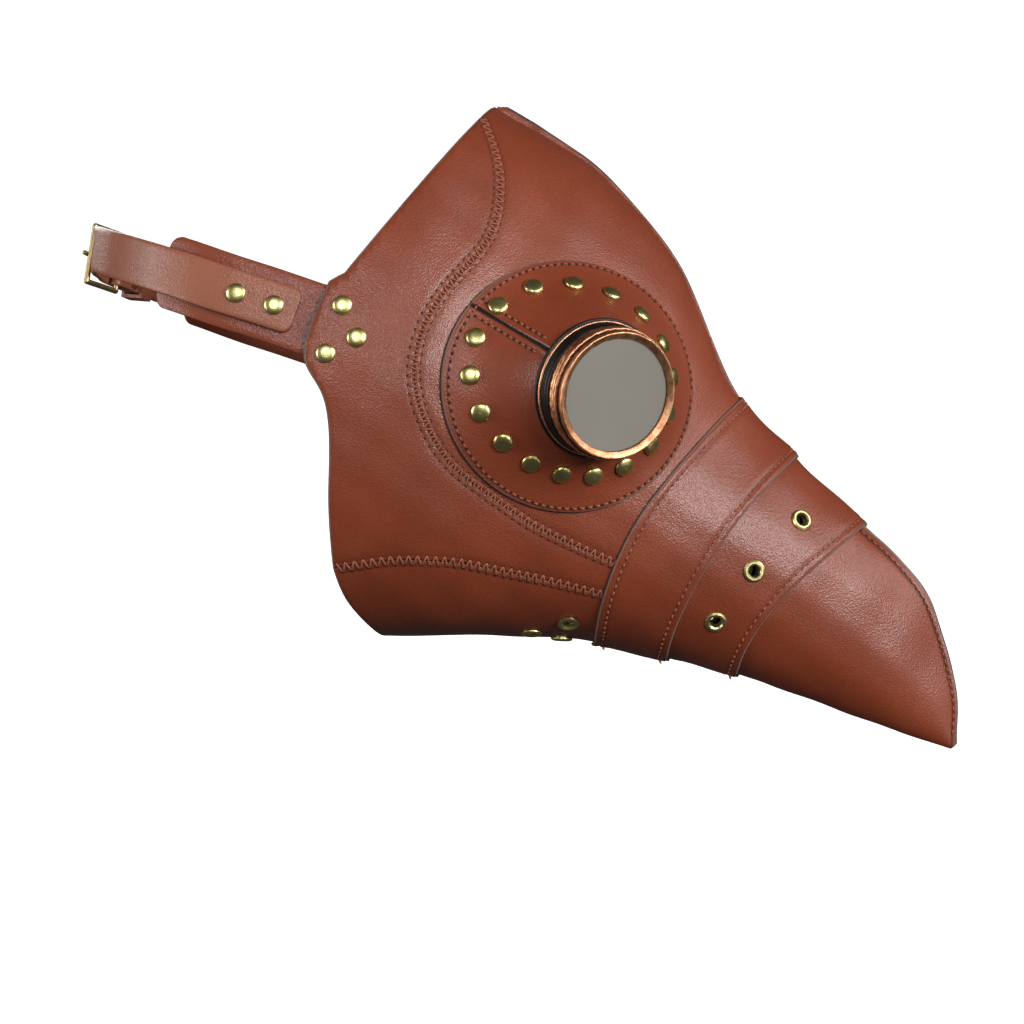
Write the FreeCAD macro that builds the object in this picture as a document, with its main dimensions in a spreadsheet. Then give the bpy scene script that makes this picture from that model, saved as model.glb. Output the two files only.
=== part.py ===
import FreeCAD, Part
import math
import os
import Sketcher
from FreeCAD import Matrix, Placement, Rotation, Vector

# Plague doctor mask: a sewn leather beak mask with two screw-ring goggles and a buckled head strap.
# Millimetres. +X points out along the beak, +Y to the wearer's left, +Z up. The origin is the centre
# of the head opening: on the middle plane, at the rear edge of the cheeks, level with the eyes.
# Names that end in _R are on the wearer's right (-Y), names that end in _L on the left.

SIZES = {
    "leather_thick": 1.6,
    "layer_step": 1.65,
    "tab_thick": 1.6,
    "tab_width": 30.0,
    "strap_thick": 2.4,
    "strap_width": 19.0,
    "strap_lift": 2.2,
    "strap_lean_degrees": 5.0,
    "rivet_cap_radius": 4.0,
    "rivet_cap_height": 1.9,
    "rivet_shank_radius": 1.25,
    "rivet_back_radius": 3.0,
    "rivet_back_thick": 0.7,
    "flat_rivet_radius": 2.6,
    "flat_rivet_head": 0.3,
    "hole_gap": 0.05,
    "drill_length": 12.0,
    "drill_back": 9.0,
    "grip_single": 2.2,
    "grip_temple": 4.8,
    "grip_strap": 4.4,
    "grip_chape": 5.5,
    "eyelet_radius": 4.5,
    "eyelet_bore": 2.5,
    "eyelet_barrel": 3.0,
    "eyelet_flange": 0.9,
    "eyelet_rim_height": 0.45,
    "eyelet_bore_height": 0.36,
    "eyelet_crown_outer": 3.78,
    "eyelet_crown_inner": 3.06,
    "eyelet_washer_radius": 4.05,
    "eyelet_washer_thick": 0.8,
    "eyelet_grip": 2.0,
    "eye_centre_along": 96.5,
    "eye_centre_up": 1.2,
    "eye_patch_radius": 51.5,
    "eye_hole_radius": 44.5,
    "goggle_seat_radius": 27.0,
    "goggle_hole_radius": 24.3,
    "goggle_bore": 21.9,
    "goggle_neck": 24.0,
    "goggle_flange_radius": 28.6,
    "goggle_flange_thick": 1.4,
    "goggle_thread_radius": 25.0,
    "goggle_height": 12.6,
    "goggle_neck_depth": 4.6,
    "goggle_seat_gap": 0.02,
    "clamp_width": 1.7,
    "clamp_depth": 3.8,
    "clamp_side_gap": 0.03,
    "clamp_back_gap": 0.25,
    "ring_clearance": 0.08,
    "ring_skirt_radius": 26.6,
    "ring_bead_radius": 27.0,
    "ring_bead_start": 12.9,
    "ring_bead_end": 14.1,
    "ring_bead_slope": 0.4,
    "ring_waist_radius": 25.7,
    "ring_waist_end": 15.2,
    "ring_cap_radius": 25.95,
    "ring_face_radius": 25.5,
    "ring_window": 22.8,
    "ring_start": 8.6,
    "ring_height": 17.8,
    "ring_chamfer": 0.6,
    "ring_bevel": 1.45,
    "lens_radius": 24.9,
    "lens_thick": 2.0,
    "lens_air": 0.1,
    "gasket_thick": 1.0,
    "gasket_width": 2.7,
    "bar_radius": 1.2,
    "buckle_length": 19.0,
    "buckle_width": 24.0,
    "buckle_rise": 3.2,
    "bar_gap": 0.06,
    "chape_thick": 1.3,
    "chape_length": 15.0,
    "chape_gap": 0.07,
    "chape_slot_length": 8.5,
    "chape_slot_back": 4.2,
    "chape_slot_play": 0.4,
    "prong_radius": 1.0,
    "prong_wall": 1.1,
    "prong_loop_width": 3.2,
    "keeper_width": 8.0,
    "keeper_thick": 1.4,
    "keeper_play": 0.35,
    "hole_length": 8.6,
    "hole_width": 3.4,
    "hole_pitch": 12.0,
    "slot_drill_length": 14.0,
    "slot_drill_back": 6.0,
    "cut_reach": 130.0,
}

# The face and beak are one sculpted skin. Each station is a flat section that stands across the
# mask: its top and bottom point on the middle plane, its half width, and how blunt the section is
# at its top and bottom (0.5 is a round end, 1 is a sharp ridge).
STATIONS = [
    # top x, top z, bottom x, bottom z, half width, top power, bottom power
    (-80.0, 150.0, -80.0, -100.0, 70.0, 0.50, 0.36),
    (-40.0, 152.0, -40.0, -100.0, 77.5, 0.50, 0.36),
    (0.0, 148.0, 0.0, -100.0, 79.5, 0.50, 0.36),
    (38.0, 134.0, 30.0, -100.0, 77.5, 0.50, 0.36),
    (69.0, 116.5, 50.0, -100.0, 70.5, 0.52, 0.37),
    (108.5, 91.5, 70.0, -100.3, 60.0, 0.56, 0.39),
    (141.5, 53.0, 88.0, -101.2, 50.5, 0.62, 0.42),
    (165.5, -1.0, 109.0, -103.2, 42.0, 0.66, 0.46),
    (191.5, -29.0, 137.0, -109.6, 34.0, 0.64, 0.50),
    (222.0, -56.0, 166.5, -117.9, 26.0, 0.66, 0.52),
    (247.5, -84.0, 205.0, -131.6, 16.0, 0.85, 0.55),
    (259.3, -121.0, 239.0, -143.9, 6.5, 0.95, 0.58),
    (260.0, -147.0, 257.0, -149.6, 1.7, 1.00, 0.60),
]
LAST_STATION = len(STATIONS) - 1
FACE_SPAN, COLLAR_SPAN = (1.0, 9.5), (6.0, 8.5)
TIP_SPAN, INNER_TIP = (8.5, LAST_STATION), 11.4
LAYER_AIR, RIVET_AIR = 0.15, 0.35
SECTION_STEP = 0.25
SECTION_POINTS = 18

# Outlines of the leather pieces, seen from the side as x, z pairs. A run of two points is a
# straight edge and a longer run is a smooth curve; each run starts where the one before it ends.
BROW_SEAM = [(60.5, 113.6), (67.3, 92.0), (67.7, 76.8), (63.3, 60.7), (53.3, 47.7), (41.8, 32.8),
             (35.1, 16.7), (34.3, -1.7), (38.5, -15.0), (47.4, -30.0), (63.0, -42.8), (80.3, -54.8),
             (98.6, -64.0), (113.8, -70.6), (127.0, -75.5)]
CHIN_SEAM = [(0.8, -73.3), (17.4, -70.6), (33.1, -69.6), (48.8, -70.5), (64.5, -73.3), (80.3, -76.6),
             (94.6, -80.0), (109.4, -84.0), (122.5, -87.5)]
FRONT_UPPER = [(181.0, -9.0), (163.0, -22.5), (145.0, -42.0), (134.0, -58.0), (127.0, -75.5)]
EAR_TO_CHIN = [(-0.1, 42.3), (-6.5, 27.0), (-9.5, 9.8), (-3.6, -1.0), (-0.6, -12.0), (-0.5, -45.2),
               (0.8, -73.3)]
CHIN_REAR = [(0.8, -73.3), (5.9, -86.6), (17.8, -100.6), (30.0, -112.0)]
BROW_OUTLINE = [
    [(60.5, 113.6), (66.0, 120.5)],
    [(66.0, 120.5), (181.0, 120.5)],
    [(181.0, 120.5), (181.0, -9.0)],
    FRONT_UPPER,
    BROW_SEAM[::-1],
]
TEMPLE_OUTLINE = [
    BROW_SEAM,
    [(127.0, -75.5), (122.5, -87.5)],
    CHIN_SEAM[::-1],
    EAR_TO_CHIN[::-1],
    [(-0.1, 42.3), (3.0, 44.2), (6.2, 45.9)],
    [(6.2, 45.9), (60.5, 113.6)],
]
CHIN_OUTLINE = [
    CHIN_SEAM,
    [(122.5, -87.5), (118.5, -98.0), (117.0, -112.0)],
    [(117.0, -112.0), (30.0, -112.0)],
    CHIN_REAR[::-1],
]
COLLAR_OUTLINE = [
    [(176.0, 2.8), (164.2, -7.3), (145.4, -26.6), (127.5, -48.6), (114.5, -73.7), (109.2, -91.0),
     (106.5, -112.0)],
    [(106.5, -112.0), (137.5, -120.0)],
    [(137.5, -120.0), (137.7, -109.7), (141.0, -97.0), (150.9, -76.6), (166.5, -53.0),
     (185.3, -32.9), (200.0, -20.0)],
    [(200.0, -20.0), (176.0, 2.8)],
]
VENT_OUTLINE = [
    [(187.0, -19.0), (177.5, -27.5), (158.5, -47.5), (143.0, -72.0), (132.5, -94.0), (129.0, -119.0)],
    [(129.0, -119.0), (166.0, -128.0)],
    [(166.0, -128.0), (168.3, -111.5), (173.2, -101.0), (186.7, -83.9), (203.8, -68.5),
     (232.0, -47.0)],
    [(232.0, -47.0), (187.0, -19.0)],
]

GOGGLE_SEAT = Vector(107.2, -73.5, -0.2)
GOGGLE_AXIS = Vector(0.46, -0.86, -0.21).normalize()
CONE_SECTIONS, CONE_POINTS = 32, 9
CONE_LIFT, CONE_POWER = 3.65, 1.6
RIVET_HOLE = "Sizes.rivet_shank_radius + Sizes.hole_gap"
EYELET_HOLE = "Sizes.eyelet_barrel + Sizes.hole_gap"
# Shares of a rivet cap's radius and height, from its rim up to its crown.
DOME = ((1.0, 0.30), (0.97, 0.46), (0.90, 0.62), (0.79, 0.76), (0.64, 0.87), (0.46, 0.945), (0.24, 0.985))
# How far each step of the goggle body lies inside its flange, and its height above the seat.
BODY_STEPS = ((0.9, 1.4), (1.0, 2.2), (1.9, 2.5), (1.9, 3.6), (1.6, 3.9), (1.9, 7.4), (2.4, 8.1))
# The rivets of an eye cone: evenly spaced but for a little crowding, on a ring that sits
# off the cone's middle and is slightly oval. Angles in degrees, places as shares up the cone.
RIVET_COUNT, RIVET_START, RIVET_CROWD = 17, 131.0, 5.0
RIVET_MIDDLE, RIVET_SWING, RIVET_LEAN = 0.48, 0.17, -40.0
RIVET_OVAL, RIVET_OVAL_LEAN = 0.08, 58.0
TEMPLE_RIVETS = ((5.3, 32.6), (11.0, 19.6), (-1.3, 13.3))
VENT_EYELETS = ((192.9, -53.3), (172.6, -74.3), (157.0, -95.3))
CHIN_EYELETS = ((81.7, 167.0), (96.9, 154.0), (94.5, 174.0))

# The middle line of the strap tabs and, lifted outwards, of the straps: from the temple round the
# back of the head. On the left the strap is pulled straight where it runs through the buckle.
ROUTE_RIGHT = [(22.0, -76.2, 17.0), (8.0, -76.8, 22.0), (-8.0, -76.6, 27.5), (-25.0, -76.2, 33.3),
               (-42.0, -74.6, 38.8), (-58.0, -69.8, 44.5), (-74.0, -60.0, 50.0), (-88.0, -43.5, 55.0),
               (-96.5, -22.0, 58.5), (-99.3, -2.0, 59.7)]
BUCKLE_RUN = (Vector(-80.0, 53.0, 51.0), Vector(-98.0, 12.5, 58.0))
ROUTE_LEFT_FRONT = [(22.0, 76.2, 17.0), (8.0, 76.8, 22.0), (-8.0, 76.6, 27.5), (-25.0, 76.2, 33.3),
                    (-42.0, 74.6, 38.8), (-58.0, 69.8, 44.3), (-70.5, 63.0, 48.0)]
RUN_NODES = 4
HEAD_MIDDLE_X = -20.0
# Where the tabs start and end, where the straps start on them, and where they are riveted, by x.
TAB_START_X, TAB_END_X, STRAP_START_X = 17.0, -67.0, -13.5
STRAP_RIVETS_X = (-22.0, -37.0)
TAB_FLARE, TAB_FLARE_AT, TAB_FLARE_REACH = 2.0, 0.14, 0.12
TAB_FRONT_TAPER, TAB_REAR_TAPER = 3.0, 1.6
TAB_SECTIONS, LONG_SECTIONS, SHORT_SECTIONS = 24, 96, 40
HEEL_BAR_AT = 31.0
TAIL_TIP, TAIL_RISE = -31.0, 4.2
KEEPER_AT = -21.0
TAIL_HOLES = (-2, -1, 0, 1, 2)
HOLE_CENTRE = -0.4
# The strap's tail lies on the toe bar's side of the chape, then climbs over the heel bar.
UNDER_TOE, TOE_FROM, TOE_REACH = 0.5, 22.0, 8.0
HEEL_FROM, HEEL_REACH = 3.0, 13.5
STRAP_GRIP = 3.2
SHOULDER, TIP_TAPER = 2.5, 4.0
PRONG_ROOT, PRONG_KNEE = Vector(0.6, 0, 1.9), Vector(2.2, 0, 7.1)
PRONG_OVERHANG = 1.5
CHAPE_RIVETS = ((-10.0, -5.5), (-10.0, 5.5))


# ---------------------------------------------------------------- sheet and document helpers

def make_sheet(doc):
    """Write the driving dimensions into a spreadsheet, one aliased cell each."""
    sheet = doc.addObject("Spreadsheet::Sheet", "Sizes")
    for row, (alias, value) in enumerate(SIZES.items(), start=1):
        sheet.set(f"A{row}", alias)
        sheet.set(f"B{row}", str(value))
        sheet.setAlias(f"B{row}", alias)
    doc.recompute()
    return sheet


def shape_feature(doc, name, shape):
    """Keep a computed shape as a feature of the document."""
    feature = doc.addObject("Part::Feature", name)
    feature.Shape = shape
    return feature


def boolean(doc, kind, name, objects):
    """Part::MultiCommon, Part::MultiFuse, or Part::Cut of a base and one or more tools."""
    result = doc.addObject(kind, name)
    if kind == "Part::Cut":
        result.Base, *tools = objects
        result.Tool = tools[0] if len(tools) == 1 else group(doc, name + "_tools", tools)
    else:
        result.Shapes = objects
    return result


def group(doc, name, objects):
    """Separate solids kept side by side as one compound."""
    compound = doc.addObject("Part::Compound", name)
    compound.Links = objects
    return compound


def mirrored(doc, name, source):
    """The left-hand twin of a right-hand piece."""
    twin = doc.addObject("Part::Mirroring", name)
    twin.Source = source
    twin.Base = Vector(0, 0, 0)
    twin.Normal = Vector(0, 1, 0)
    return twin


def cylinder(doc, name, radius, height, placement):
    """A cylinder whose radius and height are sheet expressions; it starts at its placement."""
    rod = doc.addObject("Part::Cylinder", name)
    rod.setExpression("Radius", radius)
    rod.setExpression("Height", height)
    rod.Placement = placement
    return rod


def box(doc, name, length, width, height, placement):
    """A box whose three sizes are sheet expressions."""
    block = doc.addObject("Part::Box", name)
    block.setExpression("Length", length)
    block.setExpression("Width", width)
    block.setExpression("Height", height)
    block.Placement = placement
    return block


def turned(doc, name, profile):
    """A turned piece: a closed profile of (radius, height) expressions revolved about Z."""
    body = doc.addObject("PartDesign::Body", name)
    sketch = body.newObject("Sketcher::SketchObject", name + "_profile")
    plane = next(item for item in body.Origin.OriginFeatures if item.Role == "XZ_Plane")
    sketch.AttachmentSupport = (plane, [""])
    sketch.MapMode = "FlatFace"
    corners = [Vector(float(sketch.evalExpression(r)), float(sketch.evalExpression(h)), 0)
               for r, h in profile]
    count = len(corners)
    for index in range(count):
        sketch.addGeometry(Part.LineSegment(corners[index], corners[(index + 1) % count]), False)
    for index in range(count):
        sketch.addConstraint(Sketcher.Constraint("Coincident", index, 2, (index + 1) % count, 1))
    for index, (radius, height) in enumerate(profile):
        for kind, value, expression in (("DistanceX", corners[index].x, radius),
                                        ("DistanceY", corners[index].y, height)):
            number = sketch.addConstraint(Sketcher.Constraint(kind, -1, 1, index, 1, value))
            sketch.setExpression(f"Constraints[{number}]", expression)
    revolution = body.newObject("PartDesign::Revolution", name + "_turning")
    revolution.Profile = sketch
    revolution.ReferenceAxis = (sketch, ["V_Axis"])
    revolution.Angle = 360.0
    body.Tip = revolution
    return body


def copies(doc, name, master, placements):
    """A group of identical pieces: the master shape set down at each placement."""
    solids = []
    for placement in placements:
        solid = master.Shape.copy()
        solid.Placement = placement
        solids.append(solid)
    return shape_feature(doc, name, Part.makeCompound(solids))


def looking(origin, axis, along):
    """The placement whose Z is axis and whose X is as near as possible to along."""
    z = Vector(axis).normalize()
    y = z.cross(along).normalize()
    x = y.cross(z)
    return Placement(Matrix(x.x, y.x, z.x, origin.x, x.y, y.y, z.y, origin.y,
                            x.z, y.z, z.z, origin.z, 0, 0, 0, 1))


def spline(points, parameters=None):
    """A smooth edge through the points."""
    curve = Part.BSplineCurve()
    if parameters is None:
        curve.interpolate(points)
    else:
        curve.interpolate(Points=points, Parameters=parameters)
    return curve.toShape()


# ---------------------------------------------------------------- the sculpted skin

def station(s):
    """The seven numbers of the section at station s, smoothly between the listed stations."""
    s = min(max(s, 0.0), LAST_STATION - 1e-9)
    index = int(s)
    u = s - index
    p1, p2 = STATIONS[index], STATIONS[index + 1]
    p0 = STATIONS[index - 1] if index > 0 else tuple(2 * a - b for a, b in zip(p1, p2))
    last = index + 2 > LAST_STATION
    p3 = tuple(2 * b - a for a, b in zip(p1, p2)) if last else STATIONS[index + 2]
    return [0.5 * (2 * b + (c - a) * u + (2 * a - 5 * b + 4 * c - d) * u ** 2
                   + (3 * b - a - 3 * c + d) * u ** 3) for a, b, c, d in zip(p0, p1, p2, p3)]


def grown_station(s, offset):
    """The section at s with its chord and its half width grown by offset."""
    tx, tz, bx, bz, half, top_power, bottom_power = station(s)
    length = math.hypot(bx - tx, bz - tz)
    ex, ez = (bx - tx) / length * offset, (bz - tz) / length * offset
    return tx - ex, tz - ez, bx + ex, bz + ez, half + offset, top_power, bottom_power


def fullness(share, top_power, bottom_power):
    """How much of its half width a section has at a share of the way down its chord."""
    peak = top_power / (top_power + bottom_power)
    most = peak ** top_power * (1 - peak) ** bottom_power
    share = min(max(share, 0.0), 1.0)
    return share ** top_power * (1 - share) ** bottom_power / most


def skin_point(s, angle, offset):
    """A point of the right-hand skin; angle runs from 0 at the top to pi at the bottom."""
    tx, tz, bx, bz, half, top_power, bottom_power = grown_station(s, offset)
    share = math.sin(angle / 2) ** 2
    y = -half * fullness(share, top_power, bottom_power)
    return Vector(tx + (bx - tx) * share, y, tz + (bz - tz) * share)


def skin_depth(x, z, offset):
    """How far the right-hand skin stands off the middle plane at x, z."""
    low, high = 0.0, float(LAST_STATION)
    for _ in range(40):
        s = (low + high) / 2
        tx, tz, bx, bz = grown_station(s, offset)[:4]
        ahead = (x - tx) * (bz - tz) - (z - tz) * (bx - tx)
        low, high = (s, high) if ahead < 0 else (low, s)
    tx, tz, bx, bz, half, top_power, bottom_power = grown_station(low, offset)
    share = ((x - tx) * (bx - tx) + (z - tz) * (bz - tz)) / ((bx - tx) ** 2 + (bz - tz) ** 2)
    return half * fullness(share, top_power, bottom_power)


def skin_placement(x, z, offset):
    """The placement that stands on the skin at x, z with its Z along the outward normal."""
    step = 0.5
    here = Vector(x, -skin_depth(x, z, offset), z)
    along = Vector(2 * step, skin_depth(x - step, z, offset) - skin_depth(x + step, z, offset), 0)
    up = Vector(0, skin_depth(x, z - step, offset) - skin_depth(x, z + step, offset), 2 * step)
    return looking(here, along.cross(up), along)


def half_body(s_from, s_to, offset):
    """The right half of the skin's inside from one station to another, as a solid."""
    steps = max(2, round((s_to - s_from) / SECTION_STEP))
    parameters = [index / SECTION_POINTS for index in range(SECTION_POINTS + 1)]
    wires = []
    for index in range(steps + 1):
        s = s_from + (s_to - s_from) * index / steps
        points = [skin_point(s, math.pi * value, offset) for value in parameters]
        points[0].y = 0
        points[-1].y = 0
        wires.append(Part.Wire([spline(points, parameters), Part.makeLine(points[-1], points[0])]))
    return Part.makeLoft(wires, True, False)


def leather_layer(doc, name, span, outer, inner_end=None):
    """One thickness of leather whose outer face is the skin at an offset, right half only."""
    overrun = 0.1
    start, end = span
    inner_end = end + overrun if inner_end is None else inner_end
    inner = outer - SIZES["leather_thick"]
    outside = shape_feature(doc, name + "_outside", half_body(start, end, outer))
    inside = shape_feature(doc, name + "_inside", half_body(start - overrun, inner_end, inner))
    return boolean(doc, "Part::Cut", name, [outside, inside])


def side_prism(doc, name, outline):
    """A side outline carried across the right half of the mask as a solid."""
    edges = []
    for run in outline:
        points = [Vector(x, 0, z) for x, z in run]
        edges.append(Part.makeLine(*points) if len(points) == 2 else spline(points))
    border = shape_feature(doc, name + "_border", Part.Wire(Part.sortEdges(edges)[0]))
    prism = doc.addObject("Part::Extrusion", name)
    prism.Base = border
    prism.DirMode = "Custom"
    prism.Dir = Vector(0, -1, 0)
    prism.Solid = True
    prism.setExpression("LengthFwd", "Sizes.cut_reach")
    return prism


# ---------------------------------------------------------------- fasteners

def rivet(doc, name, grip, cap="Sizes.rivet_cap_radius", height="Sizes.rivet_cap_height"):
    """A cap rivet: the cap stands on z = 0 and the back cap holds the leather at -grip."""
    shank, back = "Sizes.rivet_shank_radius", "Sizes.rivet_back_radius"
    depth = f"-Sizes.{grip}"
    foot = f"{depth} - Sizes.rivet_back_thick"
    dome = [(f"{across} * {cap}", f"{up} * {height}") for across, up in DOME]
    return turned(doc, name, [
        ("0", foot), (back, foot), (back, depth), (shank, depth), (shank, "0"), (cap, "0"),
        *dome, ("0", height)])


def eyelet(doc, name):
    """A rolled eyelet through one thickness of leather; its flange stands on z = 0."""
    rim, bore, barrel = "Sizes.eyelet_radius", "Sizes.eyelet_bore", "Sizes.eyelet_barrel"
    washer, back, lip = "Sizes.eyelet_washer_radius", "-Sizes.eyelet_grip", "Sizes.eyelet_flange"
    foot = f"{back} - Sizes.eyelet_washer_thick"
    return turned(doc, name, [
        (bore, foot), (washer, foot), (washer, back), (barrel, back), (barrel, "0"), (rim, "0"),
        (rim, "Sizes.eyelet_rim_height"), ("Sizes.eyelet_crown_outer", lip),
        ("Sizes.eyelet_crown_inner", lip), (bore, "Sizes.eyelet_bore_height")])


def drill(doc, name, radius, placements):
    """The holes for a group of fasteners, as one group of rods that cross the leather."""
    rods = []
    for index, placement in enumerate(placements):
        start = placement.multiply(Placement(Vector(0, 0, -SIZES["drill_back"]), Rotation()))
        rods.append(cylinder(doc, f"{name}_{index}", radius, "Sizes.drill_length", start))
    return group(doc, name, rods)


# ---------------------------------------------------------------- leather of the face and beak

def chin_eyelet_placement(x, angle_degrees):
    """The placement on the underside at x, with the section angle given in degrees."""
    angle = math.radians(angle_degrees)
    low, high = 0.0, float(LAST_STATION)
    for _ in range(40):
        s = (low + high) / 2
        low, high = (s, high) if skin_point(s, angle, 0).x < x else (low, s)
    step = 0.02
    offset = SIZES["layer_step"] + LAYER_AIR
    along = skin_point(low + step, angle, offset) - skin_point(low - step, angle, offset)
    down = skin_point(low, angle + step, offset) - skin_point(low, angle - step, offset)
    return looking(skin_point(low, angle, offset), down.cross(along), along)


def face_panels(doc, layer):
    """Brow, temple and chin leather: butted panels of one layer, with the eye hole cut."""
    brow_blank = boolean(doc, "Part::MultiCommon", "brow_blank",
                         [layer, side_prism(doc, "brow_prism", BROW_OUTLINE)])
    eye_at = Placement(Vector(SIZES["eye_centre_along"], 0, SIZES["eye_centre_up"]),
                       Rotation(Vector(1, 0, 0), 90))
    eye_hole = cylinder(doc, "eye_hole", "Sizes.eye_hole_radius", "Sizes.cut_reach", eye_at)
    brow = boolean(doc, "Part::Cut", "brow_panel_R", [brow_blank, eye_hole])

    rivets = [skin_placement(x, z, SIZES["layer_step"] + LAYER_AIR) for x, z in TEMPLE_RIVETS]
    rivet_holes = drill(doc, "temple_rivet_holes", RIVET_HOLE, rivets)
    temple_blank = boolean(doc, "Part::MultiCommon", "temple_blank",
                           [layer, side_prism(doc, "temple_prism", TEMPLE_OUTLINE)])
    temple = boolean(doc, "Part::Cut", "temple_panel_R", [temple_blank, rivet_holes])

    chin_places = [chin_eyelet_placement(x, angle) for x, angle in CHIN_EYELETS]
    chin_holes = drill(doc, "chin_eyelet_holes", EYELET_HOLE, chin_places)
    chin_blank = boolean(doc, "Part::MultiCommon", "chin_blank",
                         [layer, side_prism(doc, "chin_prism", CHIN_OUTLINE)])
    chin_right = boolean(doc, "Part::Cut", "chin_right", [chin_blank, chin_holes])
    chin = boolean(doc, "Part::MultiFuse", "chin_panel",
                   [chin_right, mirrored(doc, "chin_left", chin_right)])
    return brow, temple, chin, rivets, rivet_holes, chin_places


def band_across(doc, name, layer, outline, holes=None):
    """A one-piece leather band round the beak, cut from a layer by its side outline."""
    right = boolean(doc, "Part::MultiCommon", name + "_blank",
                    [layer, side_prism(doc, name + "_prism", outline)])
    if holes is not None:
        right = boolean(doc, "Part::Cut", name + "_right", [right, holes])
    return boolean(doc, "Part::MultiFuse", name, [right, mirrored(doc, name + "_left", right)])


# ---------------------------------------------------------------- eye cones

def goggle_axes():
    """Two unit vectors across the goggle's axis, nearest to +X and +Z."""
    across = (Vector(1, 0, 0) - GOGGLE_AXIS * GOGGLE_AXIS.x).normalize()
    return across, GOGGLE_AXIS.cross(across)


def goggle_circle(angle, radius):
    """A point of a circle round the goggle's axis, in the plane of the seat."""
    across, up = goggle_axes()
    return GOGGLE_SEAT + across * (radius * math.cos(angle)) + up * (radius * math.sin(angle))


def seat_depth(x, z):
    """How far the plane of the goggle seat stands off the middle plane at x, z."""
    drop = (x - GOGGLE_SEAT.x) * GOGGLE_AXIS.x + (z - GOGGLE_SEAT.z) * GOGGLE_AXIS.z
    return -(GOGGLE_SEAT.y - drop / GOGGLE_AXIS.y)


def cone_point(angle, share):
    """A point of the eye cone's outer face, from its rim (share 0) to the goggle seat (share 1)."""
    rim = SIZES["eye_patch_radius"]
    rim_x = SIZES["eye_centre_along"] + rim * math.cos(angle)
    rim_z = SIZES["eye_centre_up"] + rim * math.sin(angle)
    seat = goggle_circle(angle, SIZES["goggle_seat_radius"])
    x = rim_x + (seat.x - rim_x) * share
    z = rim_z + (seat.z - rim_z) * share
    rise = -seat.y - skin_depth(seat.x, seat.z, CONE_LIFT)
    return Vector(x, -skin_depth(x, z, CONE_LIFT) - rise * share ** CONE_POWER, z)


def cone_normal(angle, share):
    """The outward normal of the eye cone."""
    step = 0.01
    around = cone_point(angle + step, share) - cone_point(angle - step, share)
    inward = cone_point(angle, share + step) - cone_point(angle, share - step)
    normal = around.cross(inward).normalize()
    return normal if normal.y < 0 else normal * -1


def lip_point(angle):
    """Where the flat lip of the cone ends at the goggle hole, in the cone's own section plane."""
    rim, seat = cone_point(angle, 0), cone_point(angle, 1)
    low, high = 0.0, 0.5
    for _ in range(30):
        share = (low + high) / 2
        x = seat.x + (seat.x - rim.x) * share
        z = seat.z + (seat.z - rim.z) * share
        point = Vector(x, -seat_depth(x, z), z)
        inside = point.distanceToPoint(GOGGLE_SEAT) < SIZES["goggle_hole_radius"]
        low, high = (low, share) if inside else (share, high)
    return point


def cone_section(angle):
    """The flat section of the eye cone's leather at one angle, as a closed wire."""
    thick = SIZES["leather_thick"]
    outer = [cone_point(angle, index / (CONE_POINTS - 1)) for index in range(CONE_POINTS)]
    lip = lip_point(angle)
    section_normal = (outer[-1] - outer[0]).cross(Vector(0, 1, 0)).normalize()

    def inset(point, before, after):
        return point - (after - before).cross(section_normal).normalize() * thick

    inner = []
    for index, point in enumerate(outer):
        before = outer[max(index - 1, 0)]
        after = outer[min(index + 1, CONE_POINTS - 1)]
        inner.append(inset(point, before, after))
    flat = (lip - outer[-1]).cross(section_normal).normalize() * thick
    sign = 1 if (inner[0] - outer[0]).y > 0 else -1
    inner = [outer[i] + (inner[i] - outer[i]) * sign for i in range(CONE_POINTS)]
    flat = flat if flat.y > 0 else flat * -1
    lip_inner = lip + flat
    inner[-1] = outer[-1] + ((inner[-1] - outer[-1]) + flat) * 0.5
    return Part.Wire([
        spline(outer), Part.makeLine(outer[-1], lip), Part.makeLine(lip, lip_inner),
        Part.makeLine(lip_inner, inner[-1]), spline(inner[::-1]), Part.makeLine(inner[0], outer[0])])


def eye_rivet_places():
    """The angle and the share up the cone of each rivet of the right-hand eye cone."""
    places = []
    for index in range(RIVET_COUNT):
        even = math.radians(RIVET_START - 360 * index / RIVET_COUNT)
        angle = even + math.radians(RIVET_CROWD) * math.sin(even)
        share = (RIVET_MIDDLE + RIVET_SWING * math.cos(angle - math.radians(RIVET_LEAN))
                 + RIVET_OVAL * math.cos(2 * (angle - math.radians(RIVET_OVAL_LEAN))))
        places.append((angle, share))
    return places


def eye_cone(doc):
    """The stitched leather cone that carries a goggle, with its rivet holes."""
    angles = [2 * math.pi * index / CONE_SECTIONS for index in range(CONE_SECTIONS)]
    wires = [cone_section(angle) for angle in angles]
    blank = shape_feature(doc, "eye_cone_blank", Part.makeLoft(wires, True, False, True))
    rivets = []
    for angle, share in eye_rivet_places():
        normal = cone_normal(angle, share)
        rivets.append(looking(cone_point(angle, share) + normal * RIVET_AIR, normal,
                              Vector(1, 0, 0)))
    holes = drill(doc, "eye_rivet_holes", RIVET_HOLE, rivets)
    return boolean(doc, "Part::Cut", "eye_cone_R", [blank, holes]), rivets


# ---------------------------------------------------------------- goggles

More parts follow.
